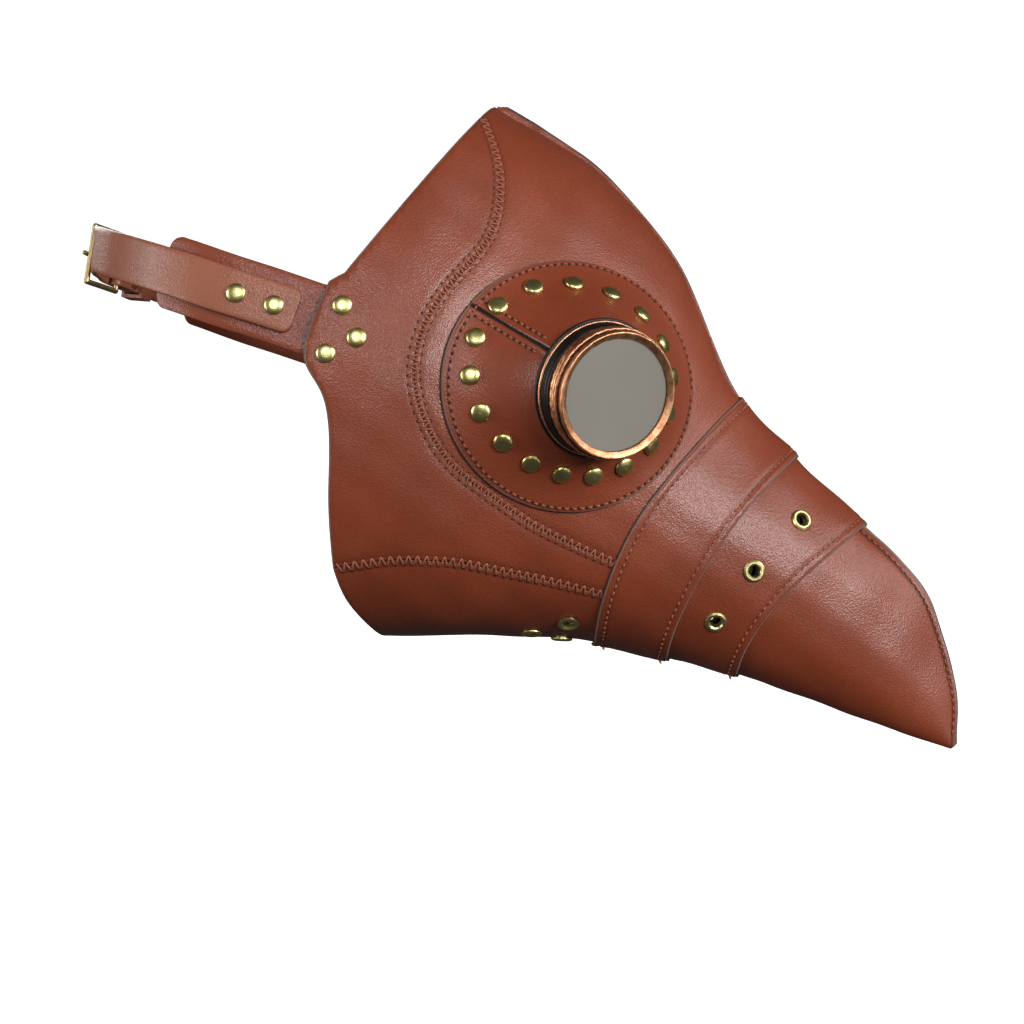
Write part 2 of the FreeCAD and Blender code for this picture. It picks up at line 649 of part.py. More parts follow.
def goggle_pieces(doc):
    """Right-hand goggle: body, inner clamp ring, screw ring, gasket and lens, all turned."""
    bore, neck = "Sizes.goggle_bore", "Sizes.goggle_neck"
    flange, thread = "Sizes.goggle_flange_radius", "Sizes.goggle_thread_radius"
    foot, base, top = "-Sizes.goggle_neck_depth", "Sizes.goggle_seat_gap", "Sizes.goggle_height"
    steps = [(f"{flange} - {inset}", f"{height}") for inset, height in BODY_STEPS]
    body = turned(doc, "goggle_body_R", [
        (bore, foot), (neck, foot), (neck, base), (flange, base),
        (flange, "Sizes.goggle_flange_thick"), *steps, (thread, f"{BODY_STEPS[-1][1]}"),
        (thread, top), (bore, top)])
    clamp_in, clamp_out = f"{neck} + Sizes.clamp_side_gap", f"{neck} + Sizes.clamp_width"
    clamp_foot, clamp_top = "-Sizes.clamp_depth", "-Sizes.leather_thick - Sizes.clamp_back_gap"
    clamp = turned(doc, "goggle_clamp_R", [
        (clamp_in, clamp_foot), (clamp_out, clamp_foot), (clamp_out, clamp_top),
        (clamp_in, clamp_top)])
    inside, edge = f"{thread} + Sizes.ring_clearance", "Sizes.ring_chamfer"
    skirt, bead, waist = "Sizes.ring_skirt_radius", "Sizes.ring_bead_radius", "Sizes.ring_waist_radius"
    cap, face, window = "Sizes.ring_cap_radius", "Sizes.ring_face_radius", "Sizes.ring_window"
    start, front, slope = "Sizes.ring_start", "Sizes.ring_height", "Sizes.ring_bead_slope"
    bead_start, bead_end, waist_end = "Sizes.ring_bead_start", "Sizes.ring_bead_end", "Sizes.ring_waist_end"
    gasket_foot = f"{top} + Sizes.lens_air"
    lens_foot = f"{gasket_foot} + Sizes.gasket_thick"
    lens_top = f"{lens_foot} + Sizes.lens_thick"
    stop = f"{lens_top} + Sizes.lens_air"
    ring = turned(doc, "lens_ring_R", [
        (inside, start), (f"{skirt} - {edge}", start), (skirt, f"{start} + {edge}"),
        (skirt, f"{bead_start} - {slope}"), (bead, bead_start), (bead, bead_end),
        (waist, f"{bead_end} + {slope}"), (waist, waist_end), (cap, f"{waist_end} + {slope}"),
        (cap, f"{front} - {edge}"), (face, front), (window, f"{front} - Sizes.ring_bevel"),
        (window, stop), (inside, stop)])
    lens_edge, gasket_edge = "Sizes.lens_radius", "Sizes.lens_radius - Sizes.gasket_width"
    gasket = turned(doc, "lens_gasket_R", [
        (gasket_edge, gasket_foot), (lens_edge, gasket_foot), (lens_edge, lens_foot),
        (gasket_edge, lens_foot)])
    lens = turned(doc, "lens_R", [
        ("0", lens_foot), (lens_edge, lens_foot), (lens_edge, lens_top), ("0", lens_top)])
    seat = looking(GOGGLE_SEAT, GOGGLE_AXIS, Vector(1, 0, 0))
    pieces = [body, clamp, ring, gasket, lens]
    for piece in pieces:
        piece.Placement = seat
    return pieces


# ---------------------------------------------------------------- straps

def left_route():
    """The left strap line and the index of the first of its evenly spaced buckle-run nodes."""
    front = [Vector(*point) for point in ROUTE_LEFT_FRONT]
    start, end = BUCKLE_RUN
    run = [start + (end - start) * (index / (RUN_NODES - 1)) for index in range(RUN_NODES)]
    back = Vector(*ROUTE_RIGHT[-1])
    return front + run + [back], len(front)


def whole_route():
    """The strap line from the right temple round the back to the left temple, with its tangents."""
    right = [Vector(*point) for point in ROUTE_RIGHT]
    left, run_start = left_route()
    nodes = right[:-1] + left[::-1]
    count = len(nodes)
    tangents = []
    for index in range(count):
        before, after = nodes[max(index - 1, 0)], nodes[min(index + 1, count - 1)]
        gap = 2 if 0 < index < count - 1 else 1
        tangents.append((after - before) * (1 / gap))
    run = (BUCKLE_RUN[0] - BUCKLE_RUN[1]) * (1 / (RUN_NODES - 1))
    first = count - run_start - RUN_NODES
    for index in range(first, first + RUN_NODES):
        tangents[index] = run
    return nodes, tangents, first


def route_frame(t):
    """Position, tangent, outward and upward directions of the strap line at parameter t."""
    nodes, tangents, _ = ROUTE
    t = min(max(t, 0.0), len(nodes) - 1 - 1e-9)
    index = int(t)
    u = t - index
    p, q, a, b = nodes[index], nodes[index + 1], tangents[index], tangents[index + 1]
    place = (p * (2 * u ** 3 - 3 * u ** 2 + 1) + a * (u ** 3 - 2 * u ** 2 + u)
             + q * (3 * u ** 2 - 2 * u ** 3) + b * (u ** 3 - u ** 2))
    slope = (p * (6 * u ** 2 - 6 * u) + a * (3 * u ** 2 - 4 * u + 1)
             + q * (6 * u - 6 * u ** 2) + b * (3 * u ** 2 - 2 * u)).normalize()
    out = slope.cross(Vector(0, 0, -1)).normalize()
    if out.dot(place - Vector(HEAD_MIDDLE_X, 0, place.z)) < 0:
        out = out * -1
    up = out.cross(slope)
    up = up if up.z > 0 else up * -1
    lean = math.radians(SIZES["strap_lean_degrees"])
    return (place, slope, out * math.cos(lean) + up * math.sin(lean),
            up * math.cos(lean) - out * math.sin(lean))


def route_parameter(x_right=None, run_distance=None):
    """The parameter at a given x on the right side, or at a distance from the buckle's heel bar."""
    nodes, _, first = ROUTE
    if run_distance is not None:
        length = (BUCKLE_RUN[1] - BUCKLE_RUN[0]).Length
        share = (HEEL_BAR_AT + run_distance) / length
        return first + (RUN_NODES - 1) * (1 - share)
    low, high = 0.0, float(len(ROUTE_RIGHT) - 2)
    for _ in range(40):
        t = (low + high) / 2
        low, high = (t, high) if route_frame(t)[0].x > x_right else (low, t)
    return low


def strip(t_from, t_to, thick, half_width, lift, count):
    """A flat strap along the line: half_width and lift are functions of the share of its run."""
    wires = []
    for index in range(count + 1):
        share = index / count
        place, _, out, up = route_frame(t_from + (t_to - t_from) * share)
        middle = place + out * lift(share)
        half = half_width(share)
        corners = [middle + up * half + out * (thick / 2), middle - up * half + out * (thick / 2),
                   middle - up * half - out * (thick / 2), middle + up * half - out * (thick / 2)]
        wires.append(Part.makePolygon(corners + corners[:1]))
    return Part.makeLoft(wires, True, False)


def ease(value):
    """A smooth step from 0 to 1."""
    value = min(max(value, 0.0), 1.0)
    return value * value * (3 - 2 * value)


def buckle_placement():
    """The buckle's own frame: X towards the strap that enters it, Z outwards, at the heel bar."""
    place, slope, out, _ = route_frame(route_parameter(run_distance=0))
    return looking(place + out * SIZES["strap_lift"], out, slope * -1)


def strap_tab_shape(mirror):
    """The wide tab between the temple and the strap, flared where the temple is riveted to it."""
    half = SIZES["tab_width"] / 2

    def width(share):
        flare = TAB_FLARE * (1 - ease(abs(share - TAB_FLARE_AT) / TAB_FLARE_REACH))
        front = TAB_FRONT_TAPER * (1 - ease(share / 0.08))
        rear = TAB_REAR_TAPER * ease((share - 0.94) / 0.06)
        return half + flare - front - rear

    shape = strip(route_parameter(x_right=TAB_START_X), route_parameter(x_right=TAB_END_X),
                  SIZES["tab_thick"], width, lambda share: 0.0, TAB_SECTIONS)
    return shape.mirror(Vector(0, 0, 0), Vector(0, 1, 0)) if mirror else shape


def long_strap_shape():
    """The strap from the right tab round the back of the head to its tip beyond the buckle."""
    start = route_parameter(x_right=STRAP_START_X)
    end = route_parameter(run_distance=TAIL_TIP)
    lift = SIZES["strap_lift"]
    half = SIZES["strap_width"] / 2
    length = (BUCKLE_RUN[1] - BUCKLE_RUN[0]).Length

    def rise(share):
        t = start + (end - start) * share
        first = ROUTE[2]
        along = length * (1 - (t - first) / (RUN_NODES - 1)) - HEEL_BAR_AT
        under_toe = UNDER_TOE * (1 - ease((along - TOE_FROM) / TOE_REACH))
        over_heel = (TAIL_RISE - UNDER_TOE) * (1 - ease((along - HEEL_FROM) / HEEL_REACH))
        return lift + under_toe + over_heel

    def width(share):
        shoulder = SHOULDER * (1 - ease(share / 0.015))
        return half - shoulder - TIP_TAPER * ease((share - 0.972) / 0.028)

    return strip(start, end, SIZES["strap_thick"], width, rise, LONG_SECTIONS)


def short_strap_shape():
    """The strap from the left tab to the buckle's chape."""
    start = route_parameter(run_distance=-STRAP_GRIP)
    end = len(ROUTE[0]) - 1 - route_parameter(x_right=STRAP_START_X)
    half = SIZES["strap_width"] / 2

    def width(share):
        return half - SHOULDER * ease((share - 0.95) / 0.05)

    return strip(start, end, SIZES["strap_thick"], width, lambda share: SIZES["strap_lift"],
                 SHORT_SECTIONS)


def strap_rivet_placements(side):
    """Where two rivets join a strap to its tab; side is -1 on the right and 1 on the left."""
    placements = []
    for x in STRAP_RIVETS_X:
        place, slope, out, _ = route_frame(route_parameter(x_right=x))
        top = place + out * (SIZES["strap_lift"] + SIZES["strap_thick"] / 2 + SIZES["hole_gap"])
        if side > 0:
            top, out, slope = (Vector(v.x, -v.y, v.z) for v in (top, out, slope))
        placements.append(looking(top, out, slope))
    return placements


def slot_cutter(doc, name, centre, frame):
    """An oval hole through the strap tail, its long way along the strap."""
    radius = "Sizes.hole_width / 2"
    straight = SIZES["hole_length"] - SIZES["hole_width"]
    low = -SIZES["slot_drill_back"]
    parts = []
    for end, side in (("a", -0.5), ("b", 0.5)):
        at = frame.multiply(Placement(Vector(centre + side * straight, 0, low), Rotation()))
        parts.append(cylinder(doc, f"{name}_{end}", radius, "Sizes.slot_drill_length", at))
    corner = Vector(centre - straight / 2, -SIZES["hole_width"] / 2, low)
    parts.append(box(doc, name + "_middle", "Sizes.hole_length - Sizes.hole_width",
                     "Sizes.hole_width", "Sizes.slot_drill_length",
                     frame.multiply(Placement(corner, Rotation()))))
    return boolean(doc, "Part::MultiFuse", name, parts)


# ---------------------------------------------------------------- buckle

def rod_between(radius, start, end):
    """A rod with round ends from one point to another."""
    rod = Part.makeCylinder(radius, (end - start).Length, start, end - start)
    return rod.fuse([Part.makeSphere(radius, start), Part.makeSphere(radius, end)])


def buckle_frame_shape():
    """The wire frame of the buckle: heel bar on the Y axis, toe bar raised over the strap."""
    radius = SIZES["bar_radius"]
    half = SIZES["buckle_width"] / 2
    toe = Vector(SIZES["buckle_length"], 0, SIZES["buckle_rise"])
    across = Vector(0, half, 0)
    bars = [rod_between(radius, across * -1, across), rod_between(radius, toe - across, toe + across),
            rod_between(radius, across * -1, toe - across), rod_between(radius, across, toe + across)]
    return bars[0].fuse(bars[1:]).removeSplitter()


def prong_shape():
    """The prong: a loop that turns on the heel bar, a knee, and a tip resting on the toe bar."""
    bar, radius = SIZES["bar_radius"], SIZES["prong_radius"]
    width = SIZES["prong_loop_width"]
    start = Vector(0, -width / 2, 0)
    across = Vector(0, 1, 0)
    inner = bar + SIZES["bar_gap"]
    loop = Part.makeCylinder(inner + SIZES["prong_wall"], width, start, across)
    tip_height = SIZES["buckle_rise"] + bar + radius + SIZES["hole_gap"]
    tip = Vector(SIZES["buckle_length"] + PRONG_OVERHANG, 0, tip_height)
    arm = rod_between(radius, PRONG_ROOT, PRONG_KNEE).fuse(rod_between(radius, PRONG_KNEE, tip))
    bore = Part.makeCylinder(inner, width + 2, start - across, across)
    return loop.fuse(arm).cut(bore).removeSplitter()


def chape_shape():
    """The leather that folds round the heel bar and grips the end of the short strap."""
    thick, width = SIZES["chape_thick"], SIZES["strap_width"]
    inner = SIZES["strap_thick"] / 2 + SIZES["chape_gap"]
    outer = inner + thick
    length = SIZES["chape_length"]
    start = Vector(0, -width / 2, 0)
    across = Vector(0, 1, 0)
    fold = Part.makeCylinder(outer, width, start, across)
    plates = Part.makeBox(length, width, 2 * outer, Vector(-length, -width / 2, -outer))
    hollow = Part.makeCylinder(inner, width + 2, start - across, across)
    gap = Part.makeBox(length + 1, width + 2, 2 * inner, Vector(-length - 1, -width / 2 - 1, -inner))
    slot_half = SIZES["prong_loop_width"] / 2 + SIZES["chape_slot_play"]
    slot = Part.makeBox(SIZES["chape_slot_length"], 2 * slot_half, 4 * outer,
                        Vector(-SIZES["chape_slot_back"], -slot_half, -2 * outer))
    return fold.fuse(plates).cut(hollow).cut(gap).cut(slot).removeSplitter()


def keeper_shape():
    """The leather loop that holds the strap's tail down on the short strap."""
    play, thick, length = SIZES["keeper_play"], SIZES["keeper_thick"], SIZES["keeper_width"]
    half = SIZES["strap_width"] / 2 + play
    low = -SIZES["strap_thick"] / 2 - play
    high = TAIL_RISE + SIZES["strap_thick"] / 2 + play
    outer = Part.makeBox(length, 2 * (half + thick), high - low + 2 * thick,
                         Vector(KEEPER_AT - length / 2, -half - thick, low - thick))
    inner = Part.makeBox(length + 2, 2 * half, high - low,
                         Vector(KEEPER_AT - length / 2 - 1, -half, low))
    return outer.cut(inner)


def buckle_pieces(doc, frame):
    """Frame, prong, chape, its two rivets and the keeper, set down in the buckle's frame."""
    rivet_master = rivet(doc, "chape_rivet_master", "grip_chape", "Sizes.flat_rivet_radius",
                         "Sizes.flat_rivet_head")
    doc.recompute()
    top = SIZES["strap_thick"] / 2 + SIZES["chape_gap"] + SIZES["chape_thick"] + SIZES["goggle_seat_gap"]
    spots = [frame.multiply(Placement(Vector(x, y, top), Rotation())) for x, y in CHAPE_RIVETS]
    holes = drill(doc, "chape_rivet_holes", RIVET_HOLE, spots)
    chape_blank = shape_feature(doc, "buckle_chape_blank", chape_shape())
    chape_blank.Placement = frame
    chape = boolean(doc, "Part::Cut", "buckle_chape", [chape_blank, holes])
    shapes = (("buckle_frame", buckle_frame_shape()), ("buckle_prong", prong_shape()),
              ("strap_keeper", keeper_shape()))
    pieces = [chape]
    for name, shape in shapes:
        piece = shape_feature(doc, name, shape)
        piece.Placement = frame
        pieces.append(piece)
    return pieces, rivet_master, spots, holes


# ---------------------------------------------------------------- assembly

def build(doc):
    """Build every sub-part and return the list of objects to write."""
    step = SIZES["layer_step"]
    face_layer = leather_layer(doc, "face_layer", FACE_SPAN, step)
    collar_layer = leather_layer(doc, "collar_layer", COLLAR_SPAN, 2 * step + LAYER_AIR)
    tip_layer = leather_layer(doc, "tip_layer", TIP_SPAN, -LAYER_AIR, INNER_TIP)
    brow, temple, chin, temple_rivets, temple_holes, chin_places = face_panels(doc, face_layer)
    collar = band_across(doc, "collar_band", collar_layer, COLLAR_OUTLINE)
    vent_places = [skin_placement(x, z, step + LAYER_AIR) for x, z in VENT_EYELETS]
    vent_holes = drill(doc, "vent_eyelet_holes", EYELET_HOLE, vent_places)
    vent = band_across(doc, "vent_band", face_layer, VENT_OUTLINE, vent_holes)
    doc.recompute()
    tip = shape_feature(doc, "beak_tip_R", tip_layer.Shape)

    cone, eye_rivets = eye_cone(doc)
    goggles = goggle_pieces(doc)

    eyelet_master = eyelet(doc, "eyelet_master")
    short_rivet = rivet(doc, "eye_rivet_master", "grip_single")
    temple_rivet = rivet(doc, "temple_rivet_master", "grip_temple")
    strap_rivet = rivet(doc, "strap_rivet_master", "grip_strap")
    doc.recompute()
    vent_eyelets = copies(doc, "vent_eyelets_R", eyelet_master, vent_places)
    chin_eyelets = copies(doc, "chin_eyelets_R", eyelet_master, chin_places)
    eye_rivet_set = copies(doc, "eye_rivets_R", short_rivet, eye_rivets)
    temple_rivet_set = copies(doc, "temple_rivets_R", temple_rivet, temple_rivets)
    paired = [brow, temple, tip, cone, *goggles, vent_eyelets, chin_eyelets, eye_rivet_set,
              temple_rivet_set]
    twins = [mirrored(doc, piece.Name[:-1] + "L", piece) for piece in paired]

    frame = buckle_placement()
    buckle, chape_rivet, chape_spots, chape_holes = buckle_pieces(doc, frame)
    chape_rivets = copies(doc, "chape_rivets", chape_rivet, chape_spots)
    right_spots, left_spots = strap_rivet_placements(-1), strap_rivet_placements(1)
    right_holes = drill(doc, "strap_rivet_holes_R", RIVET_HOLE, right_spots)
    left_holes = drill(doc, "strap_rivet_holes_L", RIVET_HOLE, left_spots)
    tab_right = shape_feature(doc, "tab_blank_R", strap_tab_shape(False))
    tab_left = shape_feature(doc, "tab_blank_L", strap_tab_shape(True))
    temple_holes_left = mirrored(doc, "temple_rivet_holes_L", temple_holes)
    tabs = [boolean(doc, "Part::Cut", "strap_tab_R", [tab_right, temple_holes, right_holes]),
            boolean(doc, "Part::Cut", "strap_tab_L", [tab_left, temple_holes_left, left_holes])]
    long_blank = shape_feature(doc, "strap_long_blank", long_strap_shape())
    short_blank = shape_feature(doc, "strap_short_blank", short_strap_shape())
    slots = [slot_cutter(doc, f"strap_hole_{index}", HOLE_CENTRE + number * SIZES["hole_pitch"], frame)
             for index, number in enumerate(TAIL_HOLES)]
    straps = [boolean(doc, "Part::Cut", "strap_long", [long_blank, right_holes, *slots]),
              boolean(doc, "Part::Cut", "strap_short", [short_blank, left_holes, chape_holes])]
    strap_rivets = [copies(doc, "strap_rivets_R", strap_rivet, right_spots),
                    copies(doc, "strap_rivets_L", strap_rivet, left_spots)]
    return (paired + twins + [chin, collar, vent] + tabs + straps + strap_rivets + buckle
            + [chape_rivets])


def check(doc, pieces):
    """Stop if any object failed or any sub-part is empty or invalid."""
    for item in doc.Objects:
        if "Invalid" in item.State or "Error" in item.State:
            raise RuntimeError(f"{item.Name} failed: {item.State}")
    for piece in pieces:
        if piece.Shape.isNull() or not piece.Shape.isValid() or not piece.Shape.Solids:
            raise RuntimeError(f"{piece.Name} has no valid solid")


ROUTE = whole_route()


def main():
    doc = FreeCAD.newDocument("plague_doctor_mask")
    make_sheet(doc)
    pieces = build(doc)
    doc.recompute()
    check(doc, pieces)
    os.makedirs("parts", exist_ok=True)
    for piece in pieces:
        piece.Label = piece.Name
        piece.Shape.exportStep(f"parts/{piece.Label}.step")


main()
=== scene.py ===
import math

import bmesh
import bpy
import numpy as np
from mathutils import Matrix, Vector, geometry, kdtree


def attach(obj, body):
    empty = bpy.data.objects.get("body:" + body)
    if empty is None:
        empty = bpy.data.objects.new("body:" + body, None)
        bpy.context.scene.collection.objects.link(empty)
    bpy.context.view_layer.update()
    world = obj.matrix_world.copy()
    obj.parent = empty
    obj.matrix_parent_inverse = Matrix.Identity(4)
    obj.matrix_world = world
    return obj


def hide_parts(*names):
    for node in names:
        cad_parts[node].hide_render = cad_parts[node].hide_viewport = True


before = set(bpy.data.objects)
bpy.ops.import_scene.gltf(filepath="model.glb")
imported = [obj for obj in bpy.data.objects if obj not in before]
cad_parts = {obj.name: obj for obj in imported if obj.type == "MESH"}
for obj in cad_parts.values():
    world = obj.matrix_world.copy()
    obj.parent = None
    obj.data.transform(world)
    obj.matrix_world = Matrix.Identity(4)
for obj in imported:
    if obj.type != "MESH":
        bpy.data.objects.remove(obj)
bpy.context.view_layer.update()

# The mask's leather, thread, metal and glass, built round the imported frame. Sizes are in
# millimetres and every mesh is scaled to metres by MM when it is made.
MM = 0.001
BODY = "mask"

# ------------------------------------------------------------------ sizes shared with the frame
LEATHER = 1.6
LAYER_STEP = 1.65
AIR = 0.15
FACE_OFFSET = LAYER_STEP
COLLAR_OFFSET = 2 * LAYER_STEP + AIR
TIP_OFFSET = -AIR
BEAK_START, LAST_STATION = 8.5, 12

STATIONS = np.array([
    # top x, top z, bottom x, bottom z, half width, top power, bottom power
    (-80.0, 150.0, -80.0, -100.0, 70.0, 0.50, 0.36),
    (-40.0, 152.0, -40.0, -100.0, 77.5, 0.50, 0.36),
    (0.0, 148.0, 0.0, -100.0, 79.5, 0.50, 0.36),
    (38.0, 134.0, 30.0, -100.0, 77.5, 0.50, 0.36),
    (69.0, 116.5, 50.0, -100.0, 70.5, 0.52, 0.37),
    (108.5, 91.5, 70.0, -100.3, 60.0, 0.56, 0.39),
    (141.5, 53.0, 88.0, -101.2, 50.5, 0.62, 0.42),
    (165.5, -1.0, 109.0, -103.2, 42.0, 0.66, 0.46),
    (191.5, -29.0, 137.0, -109.6, 34.0, 0.64, 0.50),
    (222.0, -56.0, 166.5, -117.9, 26.0, 0.66, 0.52),
    (247.5, -84.0, 205.0, -131.6, 16.0, 0.85, 0.55),
    (259.3, -121.0, 239.0, -143.9, 6.5, 0.95, 0.58),
    (260.0, -147.0, 257.0, -149.6, 1.7, 1.00, 0.60),
])
BROW_SEAM = [(60.5, 113.6), (67.3, 92.0), (67.7, 76.8), (63.3, 60.7), (53.3, 47.7), (41.8, 32.8),
             (35.1, 16.7), (34.3, -1.7), (38.5, -15.0), (47.4, -30.0), (63.0, -42.8), (80.3, -54.8),
             (98.6, -64.0), (113.8, -70.6), (127.0, -75.5)]
CHIN_SEAM = [(0.8, -73.3), (17.4, -70.6), (33.1, -69.6), (48.8, -70.5), (64.5, -73.3),
             (80.3, -76.6), (94.6, -80.0), (109.4, -84.0), (122.5, -87.5)]
FRONT_UPPER = [(181.0, -9.0), (163.0, -22.5), (145.0, -42.0), (134.0, -58.0), (127.0, -75.5)]
EAR_TO_CHIN = [(-0.1, 42.3), (-6.5, 27.0), (-9.5, 9.8), (-3.6, -1.0), (-0.6, -12.0), (-0.5, -45.2),
               (0.8, -73.3)]
CHIN_REAR = [(0.8, -73.3), (5.9, -86.6), (17.8, -100.6), (30.0, -112.0)]
COLLAR_REAR = [(176.0, 2.8), (164.2, -7.3), (145.4, -26.6), (127.5, -48.6), (114.5, -73.7),
               (109.2, -91.0), (106.5, -112.0)]
COLLAR_FRONT = [(200.0, -20.0), (185.3, -32.9), (166.5, -53.0), (150.9, -76.6), (141.0, -97.0),
                (137.7, -109.7), (137.5, -120.0)]
VENT_REAR = [(187.0, -19.0), (177.5, -27.5), (158.5, -47.5), (143.0, -72.0), (132.5, -94.0),
             (129.0, -119.0)]
VENT_FRONT = [(232.0, -47.0), (203.8, -68.5), (186.7, -83.9), (173.2, -101.0), (168.3, -111.5),
              (166.0, -128.0)]
BROW_OUTLINE = [[(60.5, 113.6), (66.0, 120.5)], [(66.0, 120.5), (181.0, 120.5)],
                [(181.0, 120.5), (181.0, -9.0)], FRONT_UPPER, BROW_SEAM[::-1]]
TEMPLE_OUTLINE = [BROW_SEAM, [(127.0, -75.5), (122.5, -87.5)], CHIN_SEAM[::-1], EAR_TO_CHIN[::-1],
                  [(-0.1, 42.3), (3.0, 44.2), (6.2, 45.9)], [(6.2, 45.9), (60.5, 113.6)]]
CHIN_OUTLINE = [CHIN_SEAM, [(122.5, -87.5), (118.5, -98.0), (117.0, -112.0)],
                [(117.0, -112.0), (30.0, -112.0)], CHIN_REAR[::-1]]
COLLAR_OUTLINE = [COLLAR_REAR, [(106.5, -112.0), (137.5, -120.0)], COLLAR_FRONT[::-1],
                  [(200.0, -20.0), (176.0, 2.8)]]
VENT_OUTLINE = [VENT_REAR, [(129.0, -119.0), (166.0, -128.0)], VENT_FRONT[::-1],
                [(232.0, -47.0), (187.0, -19.0)]]

EYE_CENTRE = (96.5, 1.2)
EYE_PATCH, EYE_HOLE = 51.5, 44.5
SEAT = np.array((107.2, -73.5, -0.2))
AXIS = np.array((0.46, -0.86, -0.21)) / np.linalg.norm((0.46, -0.86, -0.21))
SEAT_RADIUS, GOGGLE_HOLE = 27.0, 24.3
TURNED_SIDES = 160
CONE_LIFT, CONE_POWER = 3.65, 1.6
CONE_FOOT, CONE_TAPER = 45, 22
LIP_RADIUS = 25.6
EYE_SEAM_ANGLE = math.radians(141)

VENT_EYELETS = [(192.9, -53.3), (172.6, -74.3), (157.0, -95.3)]
CHIN_EYELETS = [(81.7, 167.0), (96.9, 154.0), (94.5, 174.0)]
EYELET_HOLE = 3.05

ROUTE_RIGHT = [(22.0, -76.2, 17.0), (8.0, -76.8, 22.0), (-8.0, -76.6, 27.5), (-25.0, -76.2, 33.3),
               (-42.0, -74.6, 38.8), (-58.0, -69.8, 44.5), (-74.0, -60.0, 50.0),
               (-88.0, -43.5, 55.0), (-96.5, -22.0, 58.5), (-99.3, -2.0, 59.7)]
ROUTE_LEFT_FRONT = [(x, -y, z) for x, y, z in ROUTE_RIGHT[:5]]
ROUTE_LEFT_FRONT += [(-58.0, 69.8, 44.3), (-70.5, 63.0, 48.0)]
BUCKLE_RUN = np.array([(-80.0, 53.0, 51.0), (-98.0, 12.5, 58.0)])
RUN_NODES = 4
STRAP_LEAN = math.radians(5)
STRAP_LIFT, STRAP_THICK, STRAP_WIDTH = 2.2, 2.4, 19.0
TAB_WIDTH = 30.0
HEEL_BAR_AT, TAIL_TIP, TAIL_RISE = 31.0, -31.0, 4.2
TAB_FRONT, TAB_REAR, STRAP_FRONT, SHORT_END = 17.0, -67.0, -13.5, -3.2
HEAD_MIDDLE_X = -20.0

# ------------------------------------------------------------------ sizes of the sewing
SEAM_HALF, SEAM_PITCH, SEAM_START = 2.45, 3.6, 3
EDGE_INSET, EDGE_PITCH, RIDGE_INSET = 3.3, 3.3, 3.3
RIM_STITCH_SHARE, RIM_PITCH = 0.066, 3.35
EYE_SEAM_HALF, EYE_SEAM_PITCH = 3.0, 3.2
THREAD_RADIUS, STITCH_RISE, STITCH_SINK, HOLE_RADIUS = 0.44, 0.35, 0.42, 0.72
# How much painted shade darkens the bottom of a sewn groove.
GROOVE_SHADE = 0.35
# Depth, width and height of the puffed leather beside a groove.
BUTT_GROOVE, ROW_GROOVE, EDGE_GROOVE = (0.14, 0.5, 0.0), (0.18, 0.7, 0.05), (0.42, 0.85, 0.14)

MESH_STEP, GUIDE_STEP = 1.5, 0.8
CURVE_STEP = 0.6
UV_SCALE = np.array((30.0, 45.0))


# ------------------------------------------------------------------ the sculpted skin

def station_values(s):
    """Section numbers at stations s, smoothly between the listed stations."""
    s = np.clip(np.asarray(s, float), 0, LAST_STATION - 1e-9)
    i = s.astype(int)
    u = (s - i)[:, None]
    rows = np.vstack([2 * STATIONS[0] - STATIONS[1], STATIONS, 2 * STATIONS[-1] - STATIONS[-2]])
    p0, p1, p2, p3 = rows[i], rows[i + 1], rows[i + 2], rows[i + 3]
    return 0.5 * (2 * p1 + (p2 - p0) * u + (2 * p0 - 5 * p1 + 4 * p2 - p3) * u ** 2
                  + (3 * p1 - p0 - 3 * p2 + p3) * u ** 3)


def grown(s, offset):
    """Chord ends, half width and powers of the sections at s, grown by offset."""
    tx, tz, bx, bz, half, top, bottom = station_values(s).T
    length = np.hypot(bx - tx, bz - tz)
    ex, ez = (bx - tx) / length * offset, (bz - tz) / length * offset
    return tx - ex, tz - ez, bx + ex, bz + ez, half + offset, top, bottom


def fullness(share, top, bottom):
    """A section's half width as a share of its greatest, along its chord."""
    peak = top / (top + bottom)
    most = peak ** top * (1 - peak) ** bottom
    share = np.clip(share, 0, 1)
    return share ** top * (1 - share) ** bottom / most


def skin(s, angle, offset):
    """Points of the right-hand skin; angle runs from 0 at the top to pi at the bottom."""
    tx, tz, bx, bz, half, top, bottom = grown(s, offset)
    share = np.sin(np.asarray(angle, float) / 2) ** 2
    return np.stack([tx + (bx - tx) * share, -half * fullness(share, top, bottom),
                     tz + (bz - tz) * share], axis=1)


def skin_place(x, z, offset):
    """Station and angle of the skin at x, z."""
    x, z = np.atleast_1d(np.asarray(x, float)), np.atleast_1d(np.asarray(z, float))
    low, high = np.zeros(len(x)), np.full(len(x), float(LAST_STATION))
    for _ in range(40):
        s = (low + high) / 2
        tx, tz, bx, bz = grown(s, offset)[:4]
        ahead = (x - tx) * (bz - tz) - (z - tz) * (bx - tx) < 0
        low, high = np.where(ahead, s, low), np.where(ahead, high, s)
    tx, tz, bx, bz = grown(low, offset)[:4]
    share = ((x - tx) * (bx - tx) + (z - tz) * (bz - tz)) / ((bx - tx) ** 2 + (bz - tz) ** 2)
    return low, 2 * np.arcsin(np.sqrt(np.clip(share, 0, 1)))


def skin_depth(x, z, offset):
    """How far the skin stands off the middle plane at x, z."""
    s, angle = skin_place(x, z, offset)
    return -skin(s, angle, offset)[:, 1]


def unit(vectors):
    """The vectors at unit length; a zero vector stays zero."""
    length = np.linalg.norm(vectors, axis=-1, keepdims=True)
    return vectors / np.where(length > 1e-9, length, 1)


